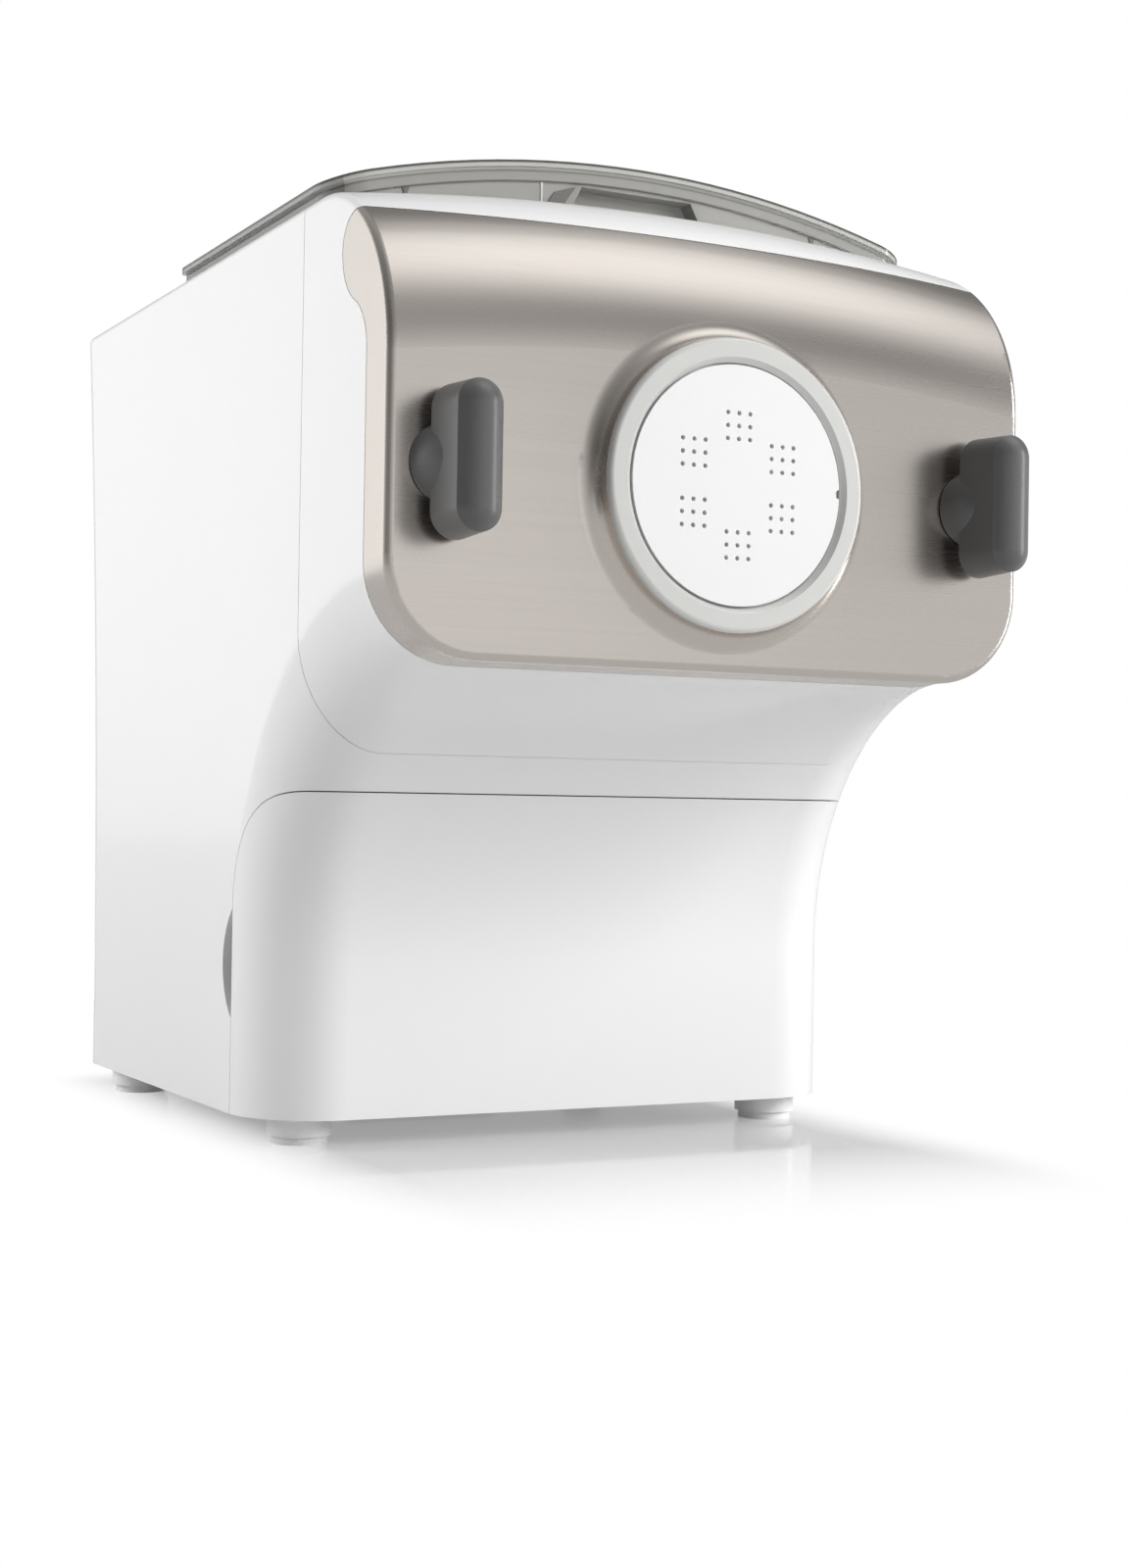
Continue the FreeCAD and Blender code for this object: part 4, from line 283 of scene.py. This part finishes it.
def lid_material(name):
    """Smoky clear plastic; its front wall has a dark painted-shade edge, a painted highlight along
    the rim and a painted-shade line at the step under the arch; walls facing sideways get painted
    shade.
    """
    material, tree, shader = blank(name)
    tint = use(tree, MOTTLE, Base=(*LID_BASE, 1.0), Shade=(*LID_SHADE, 1.0), Size=22.0, Amount=0.5,
               Rough=0.10, Spread=0.03)
    spots = tree.nodes.new("ShaderNodeTexCoord")
    place = split(tree, spots.outputs["Object"])
    level = math_node(tree, "ADD", place["Z"], LID_ARCH_DROP)
    below = math_node(tree, "SUBTRACT", LID_ARCH, length_node(tree, level, place["X"]))
    # Bands of painted highlight and painted shade along the rim and the step under the arch.
    bands = grey_ramp(tree, math_node(tree, "MULTIPLY", below, LID_BAND_SCALE), LID_RIM_PAINTED_LIGHT)
    facing = split(tree, spots.outputs["Normal"])
    upright = math_node(tree, "LESS_THAN", absolute(tree, facing["Z"]), 0.5)
    # Painted shade on the walls that face sideways.
    sideways = math_node(tree, "GREATER_THAN", absolute(tree, facing["X"]), 0.6)
    side_painted_shade = math_node(tree, "SUBTRACT", 1.0,
                       math_node(tree, "MULTIPLY", sideways, LID_SIDE_PAINTED_SHADE))
    mix = tree.nodes.new("ShaderNodeMix")
    mix.data_type = "RGBA"
    mix.blend_type = "MULTIPLY"
    wire(tree, upright, mix.inputs["Factor"])
    wire(tree, tint.outputs["Color"], mix.inputs["A"])
    wire(tree, math_node(tree, "MULTIPLY", bands, side_painted_shade), mix.inputs["B"])
    wire(tree, mix.outputs["Result"], shader.inputs["Base Color"])
    wire(tree, tint.outputs["Roughness"], shader.inputs["Roughness"])
    height = use(tree, GRAIN, Size=GRAIN_SIZE, Waves=WAVE_SIZE, Wave_share=WAVE_SHARE)
    bump(tree, shader, height.outputs["Height"], LID_DEPTH)
    shader.inputs["Transmission Weight"].default_value = SMOKY_SEE_THROUGH
    shader.inputs["Alpha"].default_value = SMOKY_ALPHA
    return material


# The finish of every piece

white_casing = moulded("white casing", (0.90, 0.90, 0.90), (0.87, 0.87, 0.875), 0.22, spread=0.03,
                       amount=0.4,
                       depth=0.000002, coat=0.35)
white_drawer = moulded("white drawer front", (0.90, 0.90, 0.90), (0.87, 0.87, 0.875), 0.22,
                       spread=0.03,
                       amount=0.4, depth=0.000002, coat=0.35)
panel_metal = brushed("champagne front panel", (0.725, 0.675, 0.63), (0.665, 0.615, 0.57), 0.27,
                      spread=0.05,
                      depth=0.000002)
carrier_grey = moulded("panel carrier", (0.34, 0.33, 0.31), (0.28, 0.27, 0.26), 0.5)
collar_metal = moulded("collar ring", (0.77, 0.77, 0.75), (0.69, 0.69, 0.67), 0.46, metallic=0.5,
                       grain=3200.0,
                       depth=0.00002)
disc_white = moulded("shaping disc", (0.88, 0.88, 0.88), (0.84, 0.84, 0.85), 0.33)
disc_grey = moulded("spare discs", (0.72, 0.73, 0.74), (0.66, 0.67, 0.69), 0.35)
tube_plastic = moulded("extrusion tube", (0.80, 0.81, 0.82), (0.74, 0.75, 0.77), 0.34)
chamber_plastic = moulded("mixing chamber", (0.74, 0.75, 0.76), (0.66, 0.67, 0.69), 0.3)
bay_plastic = moulded("chamber bay", (0.68, 0.69, 0.70), (0.62, 0.63, 0.65), 0.45)
frame_plastic = moulded("inner frame", (0.24, 0.25, 0.26), (0.19, 0.20, 0.21), 0.55)
seal_rubber = moulded("shaft seal", (0.06, 0.06, 0.062), (0.09, 0.09, 0.09), 0.7, spread=0.15,
                      sheen=0.3)
shaft_steel = brushed("ground shaft", (0.62, 0.62, 0.63), (0.50, 0.50, 0.51), 0.24,
                      along=(900.0, 10.0, 900.0))
paddle_plastic = moulded("kneading paddle", (0.84, 0.84, 0.82), (0.76, 0.75, 0.71), 0.34)
gear_nylon = moulded("nylon gear", (0.80, 0.77, 0.67), (0.70, 0.66, 0.55), 0.45)
gear_steel = brushed("steel gears", (0.52, 0.52, 0.53), (0.40, 0.40, 0.41), 0.33,
                     along=(900.0, 10.0, 900.0))
bearing_bronze = brushed("bearing bronze", (0.66, 0.47, 0.24), (0.52, 0.35, 0.16), 0.35,
                         along=(900.0, 12.0, 900.0))
case_alloy = moulded("cast alloy", (0.50, 0.51, 0.52), (0.40, 0.41, 0.42), 0.5, metallic=0.8,
                     grain=900.0,
                     depth=0.00003)
screw_steel = brushed("plated screws", (0.66, 0.66, 0.67), (0.52, 0.52, 0.54), 0.3,
                      along=(900.0, 900.0, 20.0))
motor_steel = brushed("motor shell", (0.56, 0.57, 0.58), (0.46, 0.47, 0.48), 0.35,
                      along=(900.0, 10.0, 900.0))
stator_iron = brushed("laminated iron", (0.24, 0.23, 0.22), (0.14, 0.13, 0.13), 0.5,
                      along=(10.0, 2400.0, 10.0))
rotor_copper = brushed("copper windings", (0.62, 0.30, 0.14), (0.40, 0.17, 0.08), 0.35,
                       along=(12.0, 12.0, 2000.0))
fan_plastic = moulded("fan plastic", (0.05, 0.05, 0.055), (0.08, 0.08, 0.085), 0.5)
smoky_plastic = lid_material("smoky lid")
funnel_plastic = moulded("smoky funnel", (0.56, 0.555, 0.53), (0.52, 0.515, 0.49), 0.14,
                         spread=0.04,
                         depth=LID_DEPTH, see_through=SMOKY_SEE_THROUGH, alpha=SMOKY_ALPHA)
window_plastic = moulded("display window", (0.02, 0.024, 0.028), (0.03, 0.034, 0.038), 0.08,
                         coat=0.6)
board_green = moulded("circuit board", (0.03, 0.16, 0.07), (0.05, 0.22, 0.10), 0.4, size=260.0)
strip_plastic = moulded("control strip", (0.80, 0.80, 0.81), (0.76, 0.76, 0.77), 0.3, coat=0.2)
button_white = moulded("program button", (0.86, 0.86, 0.86), (0.80, 0.80, 0.81), 0.26, coat=0.3)
button_dark = moulded("power button", (0.14, 0.145, 0.155), (0.10, 0.105, 0.11), 0.28, coat=0.3)
button_green = moulded("start button", (0.20, 0.36, 0.16), (0.16, 0.30, 0.13), 0.28, coat=0.3)
knob_plastic = moulded("knob plastic", (0.098, 0.098, 0.099), (0.080, 0.080, 0.081), 0.34,
                       spread=0.08,
                       grain=5000.0, depth=0.00001, coat=0.6, coat_rough=0.34)
foot_white = moulded("foot plastic", (0.93, 0.93, 0.93), (0.90, 0.90, 0.90), 0.36)
gland_rubber = moulded("cord gland", (0.05, 0.05, 0.055), (0.08, 0.08, 0.085), 0.62, spread=0.12,
                       sheen=0.2)
switch_plastic = moulded("switch body", (0.06, 0.06, 0.065), (0.09, 0.09, 0.095), 0.5)
tray_plastic = moulded("drawer tray", (0.82, 0.83, 0.83), (0.76, 0.77, 0.78), 0.36)
rail_plastic = moulded("drawer rails", (0.42, 0.43, 0.44), (0.36, 0.37, 0.38), 0.5)
nut_brass = brushed("brass nuts", (0.70, 0.53, 0.26), (0.58, 0.42, 0.18), 0.32,
                    along=(900.0, 14.0, 900.0))

FINISHES = {
    white_casing: ["main_housing", "front_housing", "rear_cover", "base_plate"],
    white_drawer: ["drawer_front"],
    panel_metal: ["front_panel"],
    carrier_grey: ["panel_carrier"],
    collar_metal: ["panel_collar"],
    disc_white: ["shaping_disc"],
    disc_grey: ["fettuccine_disc", "penne_disc", "lasagne_disc"],
    tube_plastic: ["extrusion_tube"],
    chamber_plastic: ["mixing_chamber"],
    bay_plastic: ["chamber_bay"],
    frame_plastic: ["chassis", "motor_cradle"],
    seal_rubber: ["chamber_seal"],
    shaft_steel: ["drive_shaft", "gear_axles", "knob_screw_left", "knob_screw_right"],
    paddle_plastic: ["mixing_paddle", "auger"],
    gear_nylon: ["first_gear"],
    gear_steel: ["output_gear", "second_gear", "motor_pinion"],
    bearing_bronze: ["output_bearings"],
    case_alloy: ["gearbox_case", "gearbox_cover"],
    screw_steel: ["rear_cover_screws", "base_screws", "gearbox_screws"],
    motor_steel: ["motor_can"],
    stator_iron: ["motor_stator"],
    rotor_copper: ["motor_rotor"],
    fan_plastic: ["cooling_fan"],
    smoky_plastic: ["lid"],
    funnel_plastic: ["lid_funnel"],
    window_plastic: ["display_window"],
    board_green: ["control_board", "power_board"],
    strip_plastic: ["control_panel"],
    button_white: ["program_button", "lid_switch_plunger"],
    button_dark: ["power_button"],
    button_green: ["start_button"],
    knob_plastic: ["knob_left", "knob_right"],
    foot_white: ["foot_front_left", "foot_front_right", "foot_rear_left", "foot_rear_right"],
    gland_rubber: ["cord_gland"],
    switch_plastic: ["lid_switch"],
    tray_plastic: ["drawer_tray"],
    rail_plastic: ["drawer_rails"],
    nut_brass: ["lock_nuts"],
}
for material, names in FINISHES.items():
    for name in names:
        mesh = nodes[name].data
        mesh.materials.clear()
        mesh.materials.append(material)


# Small clear details on the lid's front wall

LID_WALL = -0.0883
TRIM_SINK = 0.0002
TRIM_PROUD = 0.0004
TRIM_EDGE = 0.00015
CASING_ARCH = 0.8104
CASING_ARCH_DROP = 0.5114
STEP_DEPTH = 0.0063
RIB_GAP = 0.0008
RIB_HEAD = 0.0012
FLANK_LEFT = -0.0335
FLANK_RIGHT = -0.0275
FLANK_TOP = 0.3068


def lid_height(x, depth):
    """The height at x of the line that runs a depth under the lid's arch."""
    return math.sqrt((LID_ARCH - depth) ** 2 - x * x) - LID_ARCH_DROP


def casing_height(x):
    """The height of the casing's top at x."""
    return math.sqrt(CASING_ARCH ** 2 - x * x) - CASING_ARCH_DROP


def lid_trim(name, corners, material):
    """A thin moulded piece on the lid's front wall, from (x, z) corners."""
    bm = bmesh.new()
    back = LID_WALL + TRIM_SINK
    face = bm.faces.new([bm.verts.new((x, back, z)) for x, z in corners])
    grown = bmesh.ops.extrude_face_region(bm, geom=[face])
    moved = [item for item in grown["geom"] if isinstance(item, bmesh.types.BMVert)]
    bmesh.ops.translate(bm, vec=(0.0, -TRIM_PROUD - TRIM_SINK, 0.0), verts=moved)
    bmesh.ops.bevel(bm, geom=bm.edges[:], offset=TRIM_EDGE, affect="EDGES", segments=2, profile=0.5,
                    material=-1)
    bmesh.ops.recalc_face_normals(bm, faces=bm.faces[:])
    mesh = bpy.data.meshes.new(name)
    bm.to_mesh(mesh)
    bm.free()
    mesh.materials.append(material)
    piece = bpy.data.objects.new(name, mesh)
    bpy.context.scene.collection.objects.link(piece)
    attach(piece, "lid")


def upright_rib(name, x, width, flare, material):
    """A rib from the casing's top up to the step of the lid, wider at its head."""
    low = casing_height(x) + RIB_GAP
    high = lid_height(x, STEP_DEPTH)
    neck = high - RIB_HEAD
    half = width / 2
    lid_trim(name, [(x - half, low), (x + half, low), (x + half, neck), (x + half + flare, high),
                    (x - half - flare, high), (x - half, neck)], material)


def grip_flank(name, material):
    """The flared wall at the left of the grip recess."""
    lid_trim(name, [(FLANK_LEFT, casing_height(FLANK_LEFT) + RIB_GAP),
                    (FLANK_RIGHT, casing_height(FLANK_RIGHT) + RIB_GAP),
                    (-0.0222, FLANK_TOP), (-0.0236, FLANK_TOP), (-0.0300, 0.3045)], material)


rib_plastic = moulded("lid rib", (0.20, 0.195, 0.185), (0.17, 0.165, 0.155), 0.16, alpha=0.9)
edge_plastic = moulded("lid light edge", (0.74, 0.735, 0.71), (0.68, 0.675, 0.65), 0.14, alpha=0.9)
upright_rib("lid_rib_left", -0.081, 0.0016, 0.0006, rib_plastic)
upright_rib("lid_rib_right", 0.067, 0.0016, 0.0006, rib_plastic)
upright_rib("lid_light_rib", -0.0345, 0.0007, 0.0001, edge_plastic)
grip_flank("lid_grip_flank", rib_plastic)


# Floor, light and camera. The ramps are (position, grey) stops over a direction's height, its swing
# to the right, or its nearness to a softbox or a wall.

WORLD_LEVEL = 0.30
HORIZON = ((0.0, 0.86), (0.12, 0.90), (0.18, 0.78), (0.25, 0.52), (0.33, 0.38), (0.48, 0.33),
           (1.0, 0.33))
SIDEWAYS = (0.891, 0.454, 0.0)
SIDE_TO_SIDE = ((0.0, 0.24), (0.04, 0.30), (0.14, 0.62), (0.32, 0.92), (0.40, 1.16), (0.50, 1.18),
                (0.58, 0.78), (0.75, 0.58), (1.0, 0.58))
SOFTBOX_WAY = (0.433, -0.25, 0.866)
SOFTBOX_LEVEL = 1.35
SOFTBOX = ((0.80, 0.0), (0.88, 0.30), (0.92, 0.44), (0.94, 0.62), (0.96, 0.80), (0.985, 1.0))
REAR_WALL_WAY = (-0.607, 0.789, 0.10)
REAR_WALL_LEVEL = 1.25
REAR_WALL = ((0.80, 0.0), (0.90, 0.5), (0.96, 1.0), (1.0, 1.0))

FLOOR_HALF = 6.0
FLOOR_GREY = 0.66
FLOOR_ROUGHNESS = 0.07
FLOOR_SHINE = 0.35
FLOOR_IN_MIRROR = 0.6
FOOTPRINT = (0.085, 0.125)
FOOTPRINT_BACK = 0.02
FADE_START = -0.05
FADE_END = 0.12
SIDE_SHRINK = 3.0

MIDDLE = (0.0, 0.0, 0.15)
CAMERA_PLACE = (-0.3630, -0.7446, 0.1098)
CAMERA_ACROSS = (0.88789, -0.45979, 0.01561)
CAMERA_UP = (-0.018546, -0.001866, 0.999826)
CAMERA_BACK = (-0.459681, -0.888026, -0.010184)
LENS = 53.54
SENSOR = 36.0


def seen_as_white(tree):
    """1 for the rays that show the plain background: to the camera, mirrored or through glass."""
    path = tree.nodes.new("ShaderNodeLightPath")
    seen = math_node(tree, "MAXIMUM", path.outputs["Is Camera Ray"], path.outputs["Is Glossy Ray"])
    return math_node(tree, "MAXIMUM", seen, path.outputs["Is Transmission Ray"])


def from_footprint(tree, place):
    """How far a spot is outside the machine's footprint, counted longer beside and behind it."""
    centred = math_node(tree, "SUBTRACT", place["Y"], FOOTPRINT_BACK)
    aside = math_node(tree, "SUBTRACT", absolute(tree, place["X"]), FOOTPRINT[0])
    ahead = math_node(tree, "SUBTRACT", absolute(tree, centred), FOOTPRINT[1])
    aside = math_node(tree, "MULTIPLY", math_node(tree, "MAXIMUM", aside, 0.0), SIDE_SHRINK)
    behind = math_node(tree, "GREATER_THAN", centred, 0.0)
    stretch = math_node(tree, "ADD", math_node(tree, "MULTIPLY", behind, SIDE_SHRINK - 1.0), 1.0)
    ahead = math_node(tree, "MULTIPLY", math_node(tree, "MAXIMUM", ahead, 0.0), stretch)
    return length_node(tree, aside, ahead)


def floor_material():
    """A pale polished floor that turns into plain white away from the machine."""
    material, tree, shader = blank("pale floor")
    shader.inputs["Base Color"].default_value = (FLOOR_GREY, FLOOR_GREY, FLOOR_GREY, 1.0)
    shader.inputs["Roughness"].default_value = FLOOR_ROUGHNESS
    shader.inputs["Specular IOR Level"].default_value = FLOOR_SHINE
    place = split(tree, tree.nodes.new("ShaderNodeTexCoord").outputs["Object"])
    fade = tree.nodes.new("ShaderNodeMapRange")
    fade.interpolation_type = "SMOOTHSTEP"
    fade.inputs["From Min"].default_value = FADE_START
    fade.inputs["From Max"].default_value = FADE_END
    wire(tree, from_footprint(tree, place), fade.inputs["Value"])
    path = tree.nodes.new("ShaderNodeLightPath")
    dimmer = math_node(tree, "MULTIPLY", path.outputs["Is Glossy Ray"], 1.0 - FLOOR_IN_MIRROR)
    glow = tree.nodes.new("ShaderNodeEmission")
    glow.inputs["Color"].default_value = (1.0, 1.0, 1.0, 1.0)
    wire(tree, math_node(tree, "SUBTRACT", 1.0, dimmer), glow.inputs["Strength"])
    factor = math_node(tree, "MULTIPLY", fade.outputs["Result"], seen_as_white(tree))
    factor = math_node(tree, "MAXIMUM", factor, path.outputs["Is Glossy Ray"])
    mix = tree.nodes.new("ShaderNodeMixShader")
    wire(tree, factor, mix.inputs["Fac"])
    wire(tree, shader.outputs["BSDF"], mix.inputs[1])
    wire(tree, glow.outputs["Emission"], mix.inputs[2])
    wire(tree, mix.outputs["Shader"], tree.nodes["Material Output"].inputs["Surface"])
    return material


def floor():
    bm = bmesh.new()
    bmesh.ops.create_grid(bm, x_segments=1, y_segments=1, size=FLOOR_HALF)
    mesh = bpy.data.meshes.new("floor")
    bm.to_mesh(mesh)
    bm.free()
    mesh.materials.append(floor_material())
    plane = bpy.data.objects.new("floor", mesh)
    bpy.context.scene.collection.objects.link(plane)


def mirrored_spot(tree, where, way, stops, level):
    """A bright area of the mirrored studio round one direction."""
    near = vector_node(tree, "DOT_PRODUCT", where, way, "Value")
    return math_node(tree, "MULTIPLY", grey_ramp(tree, near, stops), level)


def world():
    """White all round to the eye; polished pieces mirror walls, a dim ceiling and a softbox."""
    scene_world = bpy.data.worlds.new("studio")
    bpy.context.scene.world = scene_world
    scene_world.use_nodes = True
    tree = scene_world.node_tree
    background = tree.nodes["Background"]
    background.inputs["Color"].default_value = (1.0, 1.0, 1.0, 1.0)
    where = tree.nodes.new("ShaderNodeTexCoord").outputs["Generated"]
    across = vector_node(tree, "DOT_PRODUCT", where, SIDEWAYS, "Value")
    half_across = math_node(tree, "MULTIPLY", math_node(tree, "ADD", across, 1.0), 0.5)
    walls = grey_ramp(tree, half_across, SIDE_TO_SIDE)
    mirrored = math_node(tree, "MULTIPLY", grey_ramp(tree, split(tree, where)["Z"], HORIZON), walls)
    softbox = mirrored_spot(tree, where, SOFTBOX_WAY, SOFTBOX, SOFTBOX_LEVEL)
    mirrored = math_node(tree, "MAXIMUM", mirrored, softbox)
    rear_wall = mirrored_spot(tree, where, REAR_WALL_WAY, REAR_WALL, REAR_WALL_LEVEL)
    mirrored = math_node(tree, "MAXIMUM", mirrored, rear_wall)
    path = tree.nodes.new("ShaderNodeLightPath")
    plain = math_node(tree, "MAXIMUM", path.outputs["Is Camera Ray"],
                      path.outputs["Is Transmission Ray"])
    strength = math_node(tree, "MULTIPLY", path.outputs["Is Glossy Ray"], mirrored)
    strength = math_node(tree, "MAXIMUM", strength, plain)
    dull = math_node(tree, "SUBTRACT", 1.0, seen_as_white(tree))
    strength = math_node(tree, "ADD", strength, math_node(tree, "MULTIPLY", dull, WORLD_LEVEL))
    wire(tree, strength, background.inputs["Strength"])


def lamp(name, place, target, size, power, mirrored=False):
    light = bpy.data.lights.new(name, "AREA")
    light.energy = power
    light.shape = "RECTANGLE"
    light.size, light.size_y = size
    item = bpy.data.objects.new(name, light)
    item.location = place
    item.visible_glossy = mirrored
    item.rotation_euler = (Vector(target) - Vector(place)).to_track_quat("-Z", "Y").to_euler()
    bpy.context.scene.collection.objects.link(item)


def camera():
    lens = bpy.data.cameras.new("photo camera")
    lens.lens = LENS
    lens.sensor_width = SENSOR
    item = bpy.data.objects.new("photo camera", lens)
    turn = Matrix((Vector(CAMERA_ACROSS), Vector(CAMERA_UP), Vector(CAMERA_BACK))).transposed()
    item.matrix_world = Matrix.Translation(CAMERA_PLACE) @ turn.to_4x4()
    bpy.context.scene.collection.objects.link(item)
    bpy.context.scene.camera = item


floor()
world()
camera()
lamp("overhead softbox", (0.0, 0.1, 1.5), (0.0, 0.05, 0.15), (1.0, 1.0), 6.4)
lamp("left rear softbox", (-1.18, 0.55, 0.62), (0.0, 0.1, 0.15), (0.8, 0.8), 11.0)
lamp("right front softbox", (1.2, -1.35, 0.95), MIDDLE, (0.9, 1.1), 30.0)
lamp("right strip light", (1.06, -0.58, 0.36), (0.0, -0.1, 0.2), (0.16, 0.7), 2.4, mirrored=True)
bpy.context.scene.view_settings.view_transform = "Standard"
